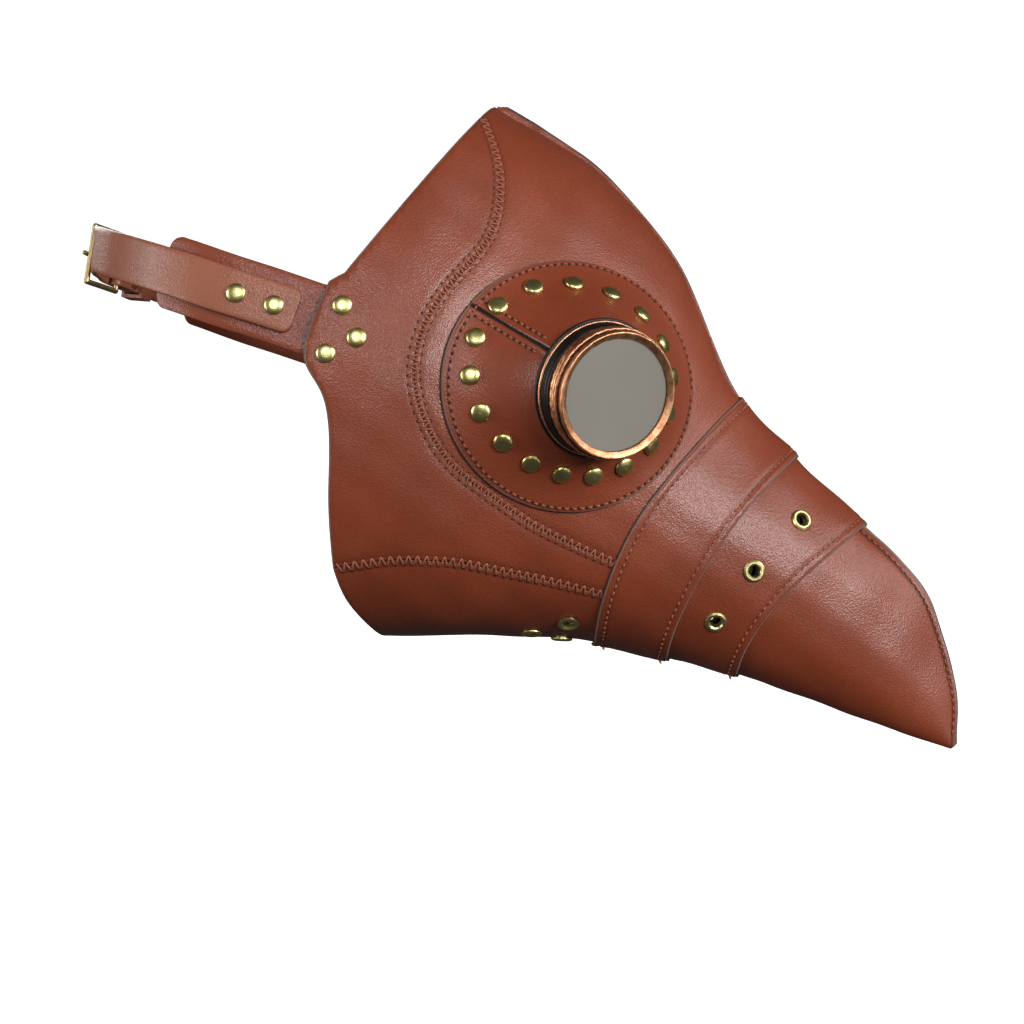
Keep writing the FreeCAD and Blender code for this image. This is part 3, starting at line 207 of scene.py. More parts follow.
def skin_slopes(s, angle, offset):
    """How the skin moves per unit of station and of angle."""
    angle = np.clip(angle, 0.03, math.pi - 0.03)
    step = 0.01
    s_low, s_high = np.clip(s - step, 0, LAST_STATION), np.clip(s + step, 0, LAST_STATION)
    along = (skin(s_high, angle, offset) - skin(s_low, angle, offset)) / (s_high - s_low)[:, None]
    down = (skin(s, angle + step, offset) - skin(s, angle - step, offset)) / (2 * step)
    return along, down


def skin_normal(s, angle, offset):
    """Outward unit normals of the right-hand skin."""
    along, down = skin_slopes(s, angle, offset)
    return unit(np.cross(down, along))


# ------------------------------------------------------------------ curves on the skin

def run_lengths(points):
    """Distance of each point of a polyline from its first point."""
    gaps = np.linalg.norm(np.diff(points, axis=0), axis=1)
    return np.concatenate([[0], np.cumsum(gaps)])


def smooth_run(run):
    """A run of x, z points as a dense smooth line (natural cubic through the points)."""
    points = np.array(run, float)
    gaps = np.linalg.norm(np.diff(points, axis=0), axis=1)
    t = run_lengths(points)
    count = max(2, int(t[-1] / CURVE_STEP))
    fine = np.linspace(0, t[-1], count + 1)
    if len(points) == 2:
        return np.stack([np.interp(fine, t, points[:, k]) for k in (0, 1)], axis=1)
    n = len(points)
    matrix, right = np.eye(n), np.zeros((n, 2))
    for i in range(1, n - 1):
        matrix[i, i - 1:i + 2] = gaps[i - 1], 2 * (gaps[i - 1] + gaps[i]), gaps[i]
        right[i] = 6 * ((points[i + 1] - points[i]) / gaps[i]
                        - (points[i] - points[i - 1]) / gaps[i - 1])
    bend = np.linalg.solve(matrix, right)
    index = np.clip(np.searchsorted(t, fine, side="right") - 1, 0, n - 2)
    width = gaps[index][:, None]
    a = (t[index + 1] - fine)[:, None] / width
    b = 1 - a
    return (a * points[index] + b * points[index + 1]
            + ((a ** 3 - a) * bend[index] + (b ** 3 - b) * bend[index + 1]) * width ** 2 / 6)


def resampled(points, step, *others):
    """Points spaced evenly along a polyline, with other arrays carried along."""
    t = run_lengths(points)
    count = max(2, int(round(t[-1] / step)))
    fine = np.linspace(0, t[-1], count + 1)
    return [np.stack([np.interp(fine, t, a[:, k]) for k in range(a.shape[1])], axis=1)
            for a in (points,) + others]


def skin_line(run, offset, step=CURVE_STEP):
    """A side outline laid on the skin: evenly spaced (station, angle) pairs."""
    xz = smooth_run(run)
    s, angle = skin_place(xz[:, 0], xz[:, 1], offset)
    places = np.stack([s, angle], axis=1)
    _, places = resampled(skin(s, angle, offset), step, places)
    return places


def clear_of_middle(places, gap=0.03):
    """The part of a line that stays on the side skin, off the middle plane."""
    keep = (places[:, 1] > gap) & (places[:, 1] < math.pi - gap)
    return places[keep]


def skin_steps(along, down, move):
    """The changes of station and angle that carry a point of the skin by move."""
    a, b, c = (along * along).sum(1), (along * down).sum(1), (down * down).sum(1)
    p, q = (move * along).sum(1), (move * down).sum(1)
    det = a * c - b * b
    return (c * p - b * q) / det, (a * q - b * p) / det


def shifted_line(places, distance, offset):
    """A line on the skin moved sideways, to the left of its direction seen from outside."""
    s, angle = places[:, 0].copy(), places[:, 1].copy()
    for _ in range(4):
        points = skin(s, angle, offset)
        tangent = unit(np.gradient(points, axis=0))
        side = unit(np.cross(skin_normal(s, angle, offset), tangent))
        forward, round_it = skin_steps(*skin_slopes(s, angle, offset), side)
        s = s + forward * distance / 4
        angle = np.clip(angle + round_it * distance / 4, 0, math.pi)
    return np.stack([s, angle], axis=1)


# ------------------------------------------------------------------ relief pressed into the leather

def point_tree(points):
    """A search tree of 3-D points."""
    tree = kdtree.KDTree(len(points))
    for index, point in enumerate(points):
        tree.insert(Vector(point), index)
    tree.balance()
    return tree


class Relief:
    """Grooves pressed along sewn lines, and the gentle waves of hand-sewn leather."""

    def __init__(self):
        self.grooves, self.guides = [], []

    def add(self, places, offset, depth, width, puff):
        """A groove along places on the skin, which the panels' meshes then follow closely."""
        points = skin(places[:, 0], places[:, 1], offset)
        for side in (-1.2, 0, 1.2):
            row = shifted_line(places, side * width, offset)
            row_points = skin(row[:, 0], row[:, 1], offset)
            self.guides.append((offset, resampled(row_points, GUIDE_STEP, row)[1]))
        tree = point_tree(points)
        low, high = points.min(axis=0) - 4 * width, points.max(axis=0) + 4 * width
        self.grooves.append((tree, depth, width, puff, low, high))

    def waves(self, points):
        """Height of the leather's gentle waves."""
        x, y, z = points.T
        return (0.32 * np.sin(0.085 * x + 0.05 * z + 1.3) * np.sin(0.07 * z - 0.04 * x + 0.4)
                + 0.16 * np.sin(0.19 * x - 0.13 * z + 0.05 * y)
                + 0.10 * np.sin(0.31 * z + 0.23 * x + 2.0))

    def __call__(self, points):
        """Height to add along the normal, and how much painted shade darkens each point of a sewn
        groove (0 to 1).
        """
        height = self.waves(points)
        groove_shade = np.zeros(len(points))
        for tree, depth, width, puff, low, high in self.grooves:
            near = np.where(((points > low) & (points < high)).all(axis=1))[0]
            for index in near:
                distance = tree.find(Vector(points[index]))[2] / width
                if distance < 4:
                    valley = math.exp(-distance ** 2)
                    height[index] += -depth * valley + puff * math.exp(-(distance - 1.9) ** 2)
                    # Painted shade: the bottom of the groove is marked to be darkened in the
                    # leather's colour.
                    groove_shade[index] = max(groove_shade[index], GROOVE_SHADE * valley)
        return height, groove_shade


relief = Relief()


def relief_points(places, offset):
    """Finished positions and normals on the skin's relief."""
    s, angle = places[:, 0], places[:, 1]
    base = skin(s, angle, offset)
    normal = skin_normal(s, angle, offset)
    height, _ = relief(base)
    return base + normal * height[:, None], normal


# ------------------------------------------------------------------ meshes

def add_to_scene(name, data):
    """A new object in the scene."""
    thing = bpy.data.objects.new(name, data)
    bpy.context.scene.collection.objects.link(thing)
    return thing


def make_object(name, verts, faces, materials, face_slots=None, groove_shade=None, body=BODY):
    """A mesh object in metres that rides on a body; verts are in millimetres."""
    mesh = bpy.data.meshes.new(name)
    mesh.from_pydata([tuple(v * MM) for v in np.asarray(verts, float)], [],
                     [tuple(f) for f in faces])
    for material in materials:
        mesh.materials.append(material)
    if face_slots is not None:
        mesh.polygons.foreach_set("material_index", np.asarray(face_slots, np.int32))
    mesh.polygons.foreach_set("use_smooth", [True] * len(mesh.polygons))
    # This attribute holds painted shade that darkens the leather in its sewn grooves.
    if groove_shade is not None:
        layer = mesh.attributes.new("groove_shade", "FLOAT", "POINT")
        layer.data.foreach_set("value", np.asarray(groove_shade, np.float32))
    mesh.update()
    thing = add_to_scene(name, mesh)
    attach(thing, body)
    return thing


def mirrored_data(verts, faces):
    """The same mesh on the other side of the middle plane, with its faces still facing out."""
    twin = np.array(verts, float)
    twin[:, 1] *= -1
    return twin, [tuple(face[::-1]) for face in faces]


def both_hands(name, verts, faces, materials, face_slots=None, groove_shade=None, replaces=None,
               body=BODY):
    """A piece on the right and its mirror image on the left."""
    for hand in "RL":
        v, f = (verts, faces) if hand == "R" else mirrored_data(verts, faces)
        thing = make_object(f"{name}_{hand}", v, f, materials, face_slots, groove_shade,
                            BODY if body == BODY else f"{body}_{hand}")
        if replaces:
            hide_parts(f"{replaces}_{hand}")


def tube_faces(rows, sides):
    """Faces of a tube made of rows rings with sides points each, with both ends capped."""
    faces = []
    for row in range(rows - 1):
        for k in range(sides):
            a, b = row * sides + k, row * sides + (k + 1) % sides
            faces.append((a, b, b + sides, a + sides))
    faces.append(tuple(range(sides))[::-1])
    faces.append(tuple((rows - 1) * sides + k for k in range(sides)))
    return faces


def facing_out(faces, points, normals, sample=0):
    """The triangles, reversed if the sampled one faces into the leather."""
    a, b, c = points[faces[sample]]
    inward = np.cross(b - a, c - a) @ normals[faces[sample][0]] < 0
    return faces[:, ::-1] if inward else faces


def inside_loop(points, loop):
    """Which 2-D points lie inside a closed 2-D loop."""
    inside = np.zeros(len(points), bool)
    x, y = points[:, 0], points[:, 1]
    nxt = np.roll(loop, -1, axis=0)
    for (x0, y0), (x1, y1) in zip(loop, nxt):
        if y0 == y1:
            continue
        crosses = (y0 > y) != (y1 > y)
        inside ^= crosses & (x < (x1 - x0) * (y - y0) / (y1 - y0) + x0)
    return inside


def inside_panel(points, loop, holes):
    """Which 2-D points lie inside a loop and outside all of its holes."""
    keep = inside_loop(points, loop)
    for hole in holes:
        keep &= ~inside_loop(points, hole)
    return keep


def clear_of(points, others, gap):
    """Which 2-D points lie more than gap from every other point."""
    tree = point_tree(np.column_stack([others, np.zeros(len(others))]))
    return np.array([tree.find(Vector((*p, 0)))[2] > gap for p in points], bool)


def fill_loop(loop, holes, step, guides):
    """Evenly sized triangles inside a 2-D loop and outside its holes, finer along the guides."""
    points, edges = [], []
    for ring in [loop] + holes:
        first = len(points)
        points += [tuple(p) for p in ring]
        edges += [(first + i, first + (i + 1) % len(ring)) for i in range(len(ring))]
    rim = np.array(points)
    low, high = rim.min(axis=0), rim.max(axis=0)
    rows = np.arange(low[1], high[1], step * math.sqrt(3) / 2)
    grid = [(x + (step / 2 if k % 2 else 0), y) for k, y in enumerate(rows)
            for x in np.arange(low[0], high[0], step)]
    grid = np.array(grid)
    grid = grid[inside_panel(grid, loop, holes)]
    grid = grid[clear_of(grid, rim, 0.6 * step)]
    if len(guides):
        guides = guides[inside_panel(guides, loop, holes)]
    if len(guides):
        guides = guides[clear_of(guides, rim, 0.35 * step)]
        grid = grid[clear_of(grid, guides, 0.5 * step)]
    points = [Vector(p) for group in (points, guides, grid) for p in group]
    verts, _, faces, _, _, _ = geometry.delaunay_2d_cdt(points, edges, [], 0, 1e-5, False)
    verts = np.array([tuple(v) for v in verts])
    faces = np.array([f for f in faces if len(f) == 3])
    return verts, faces[inside_panel(verts[faces].mean(axis=1), loop, holes)]


def closed_sheet(outer, normals, faces, thick, open_at_middle):
    """Outer face, inner face and a rounded edge between them; also each face's material."""
    count = len(outer)
    inner = outer - normals * thick
    used = {edge: True for a, b, c in faces for edge in ((a, b), (b, c), (c, a))}
    rim = [edge for edge in used if (edge[1], edge[0]) not in used]
    if open_at_middle:
        rim = [(a, b) for a, b in rim if abs(outer[a][1]) > 0.02 or abs(outer[b][1]) > 0.02]
    outward = np.zeros_like(outer)
    for a, b in rim:
        direction = np.cross(outer[b] - outer[a], normals[a])
        outward[a] += direction
        outward[b] += direction
    outward = unit(outward)
    rim_index = sorted({index for edge in rim for index in edge})
    middle = {index: 2 * count + k for k, index in enumerate(rim_index)}
    rings = np.array([(outer[i] + inner[i]) / 2 + outward[i] * 0.22 for i in rim_index])
    outer = outer.copy()
    if len(rim_index):
        outer[rim_index] -= normals[rim_index] * 0.10 + outward[rim_index] * 0.42
    verts = np.vstack([outer, inner, rings]) if len(rim_index) else np.vstack([outer, inner])
    result = [tuple(f) for f in faces]
    slots = [0] * len(result)
    for a, b, c in faces:
        result.append((a + count, c + count, b + count))
        slots.append(1)
    for a, b in rim:
        result.append((b, a, middle[a], middle[b]))
        result.append((middle[b], middle[a], a + count, b + count))
        slots += [2, 2]
    return verts, result, slots


def sheet_groove_shade(groove_shade, verts):
    """The painted groove shade of a closed sheet's two faces, with none on its edge."""
    return np.concatenate([groove_shade, groove_shade, np.zeros(len(verts) - 2 * len(groove_shade))])


def outline_loop(runs, offset):
    """A side outline as one closed ring of (station, angle) places on the skin."""
    places = np.vstack([skin_line(run, offset, MESH_STEP)[:-1] for run in runs])
    gaps = np.abs(places - np.roll(places, 1, axis=0)).sum(axis=1)
    return places[gaps > 2e-3]


def round_hole(s, angle, offset, radius):
    """A round hole on the skin, as a closed ring of (station, angle) places."""
    s, angle = np.array([float(s)]), np.array([float(angle)])
    along, down = skin_slopes(s, angle, offset)
    first = unit(along[0])
    second = unit(np.cross(skin_normal(s, angle, offset)[0], first))
    turn = np.linspace(0, 2 * math.pi, 37)[:-1]
    move = radius * (np.outer(np.cos(turn), first) + np.outer(np.sin(turn), second))
    forward, round_it = skin_steps(along, down, move)
    return np.stack([s[0] + forward, angle[0] + round_it], axis=1)


def chin_eyelet_places():
    """The eyelets under the chin, found by how far forward they sit on their section angle."""
    places = []
    for x, degrees in CHIN_EYELETS:
        low, high = 0.0, float(LAST_STATION)
        angle = np.array([math.radians(degrees)])
        for _ in range(40):
            s = (low + high) / 2
            low, high = (s, high) if skin(np.array([s]), angle, 0)[0, 0] < x else (low, s)
        places.append((low, angle[0]))
    return places


def leather_panel(name, runs, offset, replaces, holes=(), joined=False):
    """A panel cut from the skin by a side outline: one across the middle if joined, else a pair."""
    loop = outline_loop(runs, offset) * UV_SCALE
    hole_loops = [hole * UV_SCALE for hole in holes]
    guides = [row for layer, row in relief.guides if layer == offset]
    guides = np.vstack(guides) * UV_SCALE if guides else np.zeros((0, 2))
    flat, faces = fill_loop(loop, hole_loops, MESH_STEP, guides)
    places = flat / UV_SCALE
    s, angle = places[:, 0], np.clip(places[:, 1], 0, math.pi)
    base = skin(s, angle, offset)
    normal = skin_normal(s, angle, offset)
    middle = (angle < 1e-4) | (angle > math.pi - 1e-4)
    if joined:
        normal[middle, 1] = 0
        normal = unit(normal)
    height, groove_shade = relief(base)
    points = base + normal * height[:, None]
    if joined:
        points[middle, 1] = 0
    faces = facing_out(faces, points, normal)
    verts, faces, slots = closed_sheet(points, normal, faces, LEATHER, joined)
    groove_shade = sheet_groove_shade(groove_shade, verts)
    if not joined:
        both_hands(name, verts, faces, PANEL_LOOKS, slots, groove_shade, replaces)
        return
    twin, twin_faces = mirrored_data(verts, faces)
    count = len(verts)
    faces = faces + [tuple(i + count for i in f) for f in twin_faces]
    thing = make_object(name, np.vstack([verts, twin]), faces, PANEL_LOOKS, slots * 2,
                        np.tile(groove_shade, 2))
    weld(thing)
    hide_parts(replaces)


def weld(thing):
    """Join the two halves of a mesh where they meet on the middle plane."""
    work = bmesh.new()
    work.from_mesh(thing.data)
    close = [v for v in work.verts if abs(v.co.y) < 1e-5]
    bmesh.ops.remove_doubles(work, verts=close, dist=2e-5)
    work.to_mesh(thing.data)
    work.free()


# ------------------------------------------------------------------ materials

def material(name):
    """A new node material; returns it with its node tree and its Principled shader."""
    made = bpy.data.materials.new(name)
    made.use_nodes = True
    return made, made.node_tree, made.node_tree.nodes["Principled BSDF"]


def plug(tree, made, inputs):
    """Set inputs of a node: a socket is linked, anything else becomes the default value."""
    for key, value in inputs.items():
        if isinstance(value, bpy.types.NodeSocket):
            tree.links.new(value, made.inputs[key])
        else:
            made.inputs[key].default_value = value
    return made


def node(tree, kind, inputs=None, output=0, **settings):
    """The output socket of a new node with these settings and inputs."""
    made = tree.nodes.new(kind)
    for key, value in settings.items():
        setattr(made, key, value)
    return plug(tree, made, inputs or {}).outputs[output]


def noise(tree, place, scale, detail, **more):
    """The value of a noise texture."""
    return node(tree, "ShaderNodeTexNoise",
                {"Vector": place, "Scale": scale, "Detail": detail, **more}, "Fac")


def bumps(tree, height, strength, distance):
    """Normals of a bumpy surface."""
    return node(tree, "ShaderNodeBump",
                {"Height": height, "Strength": strength, "Distance": distance}, "Normal")


def colour_ramp(tree, factor, stops):
    """Colours from a value, by a list of (position, colour) stops."""
    ramp = tree.nodes.new("ShaderNodeValToRGB")
    while len(ramp.color_ramp.elements) < len(stops):
        ramp.color_ramp.elements.new(0.5)
    for element, (position, colour) in zip(ramp.color_ramp.elements, stops):
        element.position = position
        element.color = (*colour, 1)
    return plug(tree, ramp, {"Fac": factor}).outputs["Color"]


def leather_material(name, dark, mid, light, roughness, grain_scale=1400.0, grain=0.42, coat=0.4):
    """Semi-gloss coated leather: pebble grain, mottled colour, and painted shade darkening the sewn
    grooves.
    """
    made, tree, shader = material(name)
    place = node(tree, "ShaderNodeTexCoord", output="Object")
    mottle = noise(tree, place, 22.0, 5.0, Roughness=0.6)
    colour = colour_ramp(tree, mottle, [(0.3, dark), (0.5, mid), (0.72, light)])
    # Painted shade: the attribute darkens the colour towards brown-grey in the sewn grooves.
    tarnish_and_groove_shade = node(tree, "ShaderNodeAttribute", output="Fac", attribute_name="groove_shade")
    shade = node(tree, "ShaderNodeMix", {"Factor": tarnish_and_groove_shade, "A": colour, "B": (0.32, 0.22, 0.19, 1)},
                 "Result", data_type="RGBA", blend_type="MULTIPLY")
    pebble = node(tree, "ShaderNodeTexVoronoi",
                  {"Scale": grain_scale, "Smoothness": 0.6, "Vector": place}, "Distance",
                  feature="SMOOTH_F1")
    crease = noise(tree, place, 420.0, 5.0, Roughness=0.6)
    blend = node(tree, "ShaderNodeMix", {"Factor": 0.45, "A": pebble, "B": crease}, "Result",
                 data_type="FLOAT")
    normal = bumps(tree, blend, grain, 0.0005)
    gloss = node(tree, "ShaderNodeMapRange", {"Value": crease, "To Min": roughness - 0.06,
                                              "To Max": roughness + 0.12}, "Result")
    plug(tree, shader, {"Base Color": shade, "Normal": normal, "Roughness": gloss,
                        "Specular IOR Level": 0.45, "Coat Weight": coat, "Coat Roughness": 0.22,
                        "Coat Normal": normal})
    return made


def woven_material(name, colour):
    """Knitted backing cloth behind the coated leather."""
    made, tree, shader = material(name)
    place = node(tree, "ShaderNodeTexCoord", output="Object")
    waves = [node(tree, "ShaderNodeTexWave", {"Vector": place, "Scale": 225.0, "Distortion": 1.2,
                                              "Detail": 1.0}, "Fac", bands_direction=direction)
             for direction in ("X", "Z")]
    weave = node(tree, "ShaderNodeMath", {0: waves[0], 1: waves[1]}, operation="MULTIPLY")
    darker = tuple(0.55 * c for c in colour)
    plug(tree, shader, {"Base Color": colour_ramp(tree, weave, [(0.1, darker), (0.7, colour)]),
                        "Normal": bumps(tree, weave, 0.5, 0.0003), "Roughness": 0.95,
                        "Sheen Weight": 0.3})
    return made


def metal_material(name, bright, tarnish_and_groove_shade, roughness, scale=60.0, metallic=1.0, scratch=0.12):
    """Metal with tarnish patches and fine scratches."""
    made, tree, shader = material(name)
    place = node(tree, "ShaderNodeTexCoord", output="Object")
    patches = noise(tree, place, scale, 8.0, Roughness=0.7)
    fine = noise(tree, place, scale * 14, 4.0)
    gloss = node(tree, "ShaderNodeMapRange", {"Value": patches, "To Min": roughness,
                                              "To Max": roughness + 0.2}, "Result")
    plug(tree, shader, {"Base Color": colour_ramp(tree, patches, [(0.35, tarnish_and_groove_shade), (0.6, bright)]),
                        "Normal": bumps(tree, fine, scratch, 0.0003), "Roughness": gloss,
                        "Metallic": metallic})
    return made


LEATHER_SKIN = leather_material("face_leather", (0.215, 0.038, 0.011), (0.250, 0.046, 0.015),
                                (0.285, 0.056, 0.020), 0.48)
# Painted highlight: the strap leather is the face leather made lighter, standing for the sheen the
# straps catch.
STRAP_SHEEN_SKIN = leather_material("strap_leather", (0.300, 0.090, 0.045), (0.345, 0.108, 0.055),
                              (0.390, 0.128, 0.068), 0.48)
CUT_EDGE = leather_material("cut_edge", (0.160, 0.110, 0.090), (0.215, 0.160, 0.135),
                            (0.290, 0.230, 0.200), 0.8, 500.0, 0.5, 0.0)
BACKING = woven_material("backing_cloth", (0.105, 0.075, 0.060))
# The standing seam's raw edge, near-black: partly its dark edge colour, partly painted shade along
# the forehead outline.
RAW_EDGE_AND_SHADE = leather_material("raw_seam_edge_and_shade", (0.030, 0.018, 0.014), (0.050, 0.030, 0.024),
                            (0.090, 0.060, 0.048), 0.85, 500.0, 0.5, 0.0)
THREAD = leather_material("thread", (0.300, 0.078, 0.036), (0.360, 0.100, 0.050),
                          (0.420, 0.128, 0.068), 0.55, 2200.0, 0.5, 0.0)
# Painted shade: near-black for the inside of needle holes and the bottom of the eye cone's seam
# groove.
HOLE_SHADE = leather_material("needle_hole_shade", (0.020, 0.008, 0.006), (0.030, 0.012, 0.009),
                               (0.045, 0.018, 0.013), 0.8, coat=0.0)
BRASS = metal_material("rivet_brass", (0.85, 0.76, 0.32), (0.62, 0.54, 0.19), 0.22)
EYELET_BRASS = metal_material("eyelet_brass", (0.80, 0.70, 0.34), (0.50, 0.40, 0.16), 0.26)
BUCKLE_BRASS = metal_material("buckle_brass", (0.62, 0.50, 0.24), (0.30, 0.22, 0.09), 0.32)
COPPER = metal_material("antique_copper", (0.92, 0.50, 0.28), (0.52, 0.20, 0.09), 0.3, 260.0, 1.0,
                        0.35)
PATINA = metal_material("dark_patina", (0.10, 0.035, 0.018), (0.02, 0.010, 0.008), 0.45, 200.0,
                        0.8, 0.3)
GOGGLE_BLACK = metal_material("goggle_black", (0.030, 0.024, 0.022), (0.012, 0.010, 0.010), 0.35,
                              120.0, 0.6, 0.3)
RUBBER = metal_material("gasket_rubber", (0.025, 0.024, 0.023), (0.012, 0.012, 0.012), 0.7, 90.0,
                        0.0)
PANEL_LOOKS = [LEATHER_SKIN, BACKING, CUT_EDGE]


def lens_material():
    """Smoky, slightly see-through lens."""
    made, tree, shader = material("smoke_lens")
    haze = noise(tree, node(tree, "ShaderNodeTexCoord", output="Object"), 30.0, 2.0)
    stops = [(0.3, (0.255, 0.238, 0.200)), (0.7, (0.285, 0.268, 0.228))]
    plug(tree, shader, {"Base Color": colour_ramp(tree, haze, stops), "Roughness": 0.12,
                        "IOR": 1.5, "Transmission Weight": 0.15})
    return made


LENS = lens_material()


# ------------------------------------------------------------------ thread

def tube_rows(points, normals, radius, sides=6):
    """Vertices and faces of a thin tube along points, closed at both ends."""
    tangent = unit(np.gradient(points, axis=0))
    side = unit(np.cross(normals, tangent))
    up = np.cross(tangent, side)
    verts = []
    for k in range(sides):
        turn = 2 * math.pi * k / sides
        verts.append(points + (side * math.cos(turn) + up * math.sin(turn)) * radius)
    return np.stack(verts, axis=1).reshape(-1, 3), tube_faces(len(points), sides)


class ThreadWork:
    """Every stitch of the mask and the needle holes it goes through, as one mesh per hand."""

    def __init__(self):
        self.verts, self.faces, self.slots, self.count = [], [], [], 0

    def add(self, verts, faces, slot=0):
        """Take in one mesh; slot 0 is thread and slot 1 the painted shade of a needle hole."""
        self.verts.append(verts)
        self.faces += [tuple(i + self.count for i in f) for f in faces]
        self.slots += [slot] * len(faces)
        self.count += len(verts)

    def hole(self, place, normal):
        """A needle hole painted as a near-black dish of shade, its rim just over the leather."""
        side = unit(np.cross(normal, (0.3, 0.1, 0.9)))
        up = np.cross(normal, side)
        turn = np.linspace(0, 2 * math.pi, 9)[:-1]
        rim = place + (np.outer(np.cos(turn), side) + np.outer(np.sin(turn), up)) * HOLE_RADIUS
        self.add(np.vstack([rim + normal * 0.09, place[None] + normal * 0.03]),
                 [(k, (k + 1) % 8, 8) for k in range(8)], 1)

    def stitch(self, start, end, normal):
        """One visible stitch: it comes up at start, arches and goes down at end."""
        share = np.linspace(0, 1, 6)
        height = STITCH_RISE - (STITCH_RISE + STITCH_SINK) * np.abs(2 * share - 1) ** 3
        points = start + (end - start) * share[:, None] + normal * height[:, None]
        normals = np.broadcast_to(normal, points.shape)
        self.add(*tube_rows(points, normals, THREAD_RADIUS))

    def straight(self, places, offset, pitch):
        """A running seam along a line on the skin."""
        points, normals = relief_points(clear_of_middle(places), offset)
        self.along(points, normals, pitch)

    def along(self, points, normals, pitch):
        """Short stitches between needle holes painted dark as shade, one hole at the start of each
        pitch.
        """
        points, normals = resampled(points, pitch / 8, normals)
        for first in range(0, len(points) - 8, 8):
            self.hole(points[first], unit(normals[first]))
            self.stitch(points[first + 2], points[first + 6], unit(normals[first + 4]))

    def zigzag(self, places, offset, half, pitch):
        """A zigzag seam whose thread crosses a butt joint from row to row."""
        middle = places[SEAM_START:]
        points = skin(middle[:, 0], middle[:, 1], offset)
        _, middle = resampled(points, pitch / 2, middle)
        left, left_normals = relief_points(shifted_line(middle, half, offset), offset)
        right, right_normals = relief_points(shifted_line(middle, -half, offset), offset)
        for k in range(0, len(middle) - 2, 2):
            self.stitch(left[k], right[k + 1], right_normals[k + 1])
            self.stitch(right[k + 1], left[k + 2], left_normals[k + 2])
            self.hole(left[k], left_normals[k])
            self.hole(right[k + 1], right_normals[k + 1])

    def loose_end(self, place, direction, length):
        """A cut thread end left hanging out of the last hole."""
        share = np.linspace(0, 1, 6)[:, None]
        bend = np.cross(direction, (0.2, 1.0, 0.1))
        points = place + direction * length * share + bend * 0.5 * np.sin(2.6 * share)
        self.add(*tube_rows(points, np.broadcast_to(unit(bend), points.shape), 0.3))

    def finish(self, name):
        """Make the collected stitches of both hands."""
        both_hands(name, np.vstack(self.verts), self.faces, [THREAD, HOLE_SHADE],
                   self.slots)


# ------------------------------------------------------------------ eye cones

def goggle_axes():
    """The two directions square to the right goggle's axis."""
    across = unit(np.array((1.0, 0, 0)) - AXIS * AXIS[0])
    return across, np.cross(AXIS, across)


def goggle_circle(angle, radius):
    """Points round the right goggle's axis, in the plane of its seat."""
    across, up = goggle_axes()
    return SEAT + np.outer(np.cos(angle) * radius, across) + np.outer(np.sin(angle) * radius, up)


def cone_points(angle, share):
    """Points of the eye cone's outer face, from its rim (share 0) to the goggle seat (share 1)."""
    angle, share = np.broadcast_arrays(np.asarray(angle, float), np.asarray(share, float))
    rim_x = EYE_CENTRE[0] + EYE_PATCH * np.cos(angle)
    rim_z = EYE_CENTRE[1] + EYE_PATCH * np.sin(angle)
    seat = goggle_circle(angle, SEAT_RADIUS)
    x = rim_x + (seat[:, 0] - rim_x) * share
    z = rim_z + (seat[:, 2] - rim_z) * share
    rise = -seat[:, 1] - skin_depth(seat[:, 0], seat[:, 2], CONE_LIFT)
    base = np.stack([x, -skin_depth(x, z, CONE_LIFT), z], axis=1)
    height, _ = relief(base)
    base[:, 1] -= rise * share ** CONE_POWER + height * (1 - share)
    return base


def cone_normals(angle, share):
    """Outward unit normals of the eye cone."""
    step = 0.02
    around = cone_points(angle + step, share) - cone_points(angle - step, share)
    inward = (cone_points(angle, np.clip(share + step, 0, 1))
              - cone_points(angle, np.clip(share - step, 0, 1)))
    normal = unit(np.cross(around, inward))
    return np.where(normal[:, 1:2] > 0, -normal, normal)


def cone_radius(share):
    """Roughly how far the cone's leather is from its middle at a share of the way up."""
    return CONE_FOOT - CONE_TAPER * share


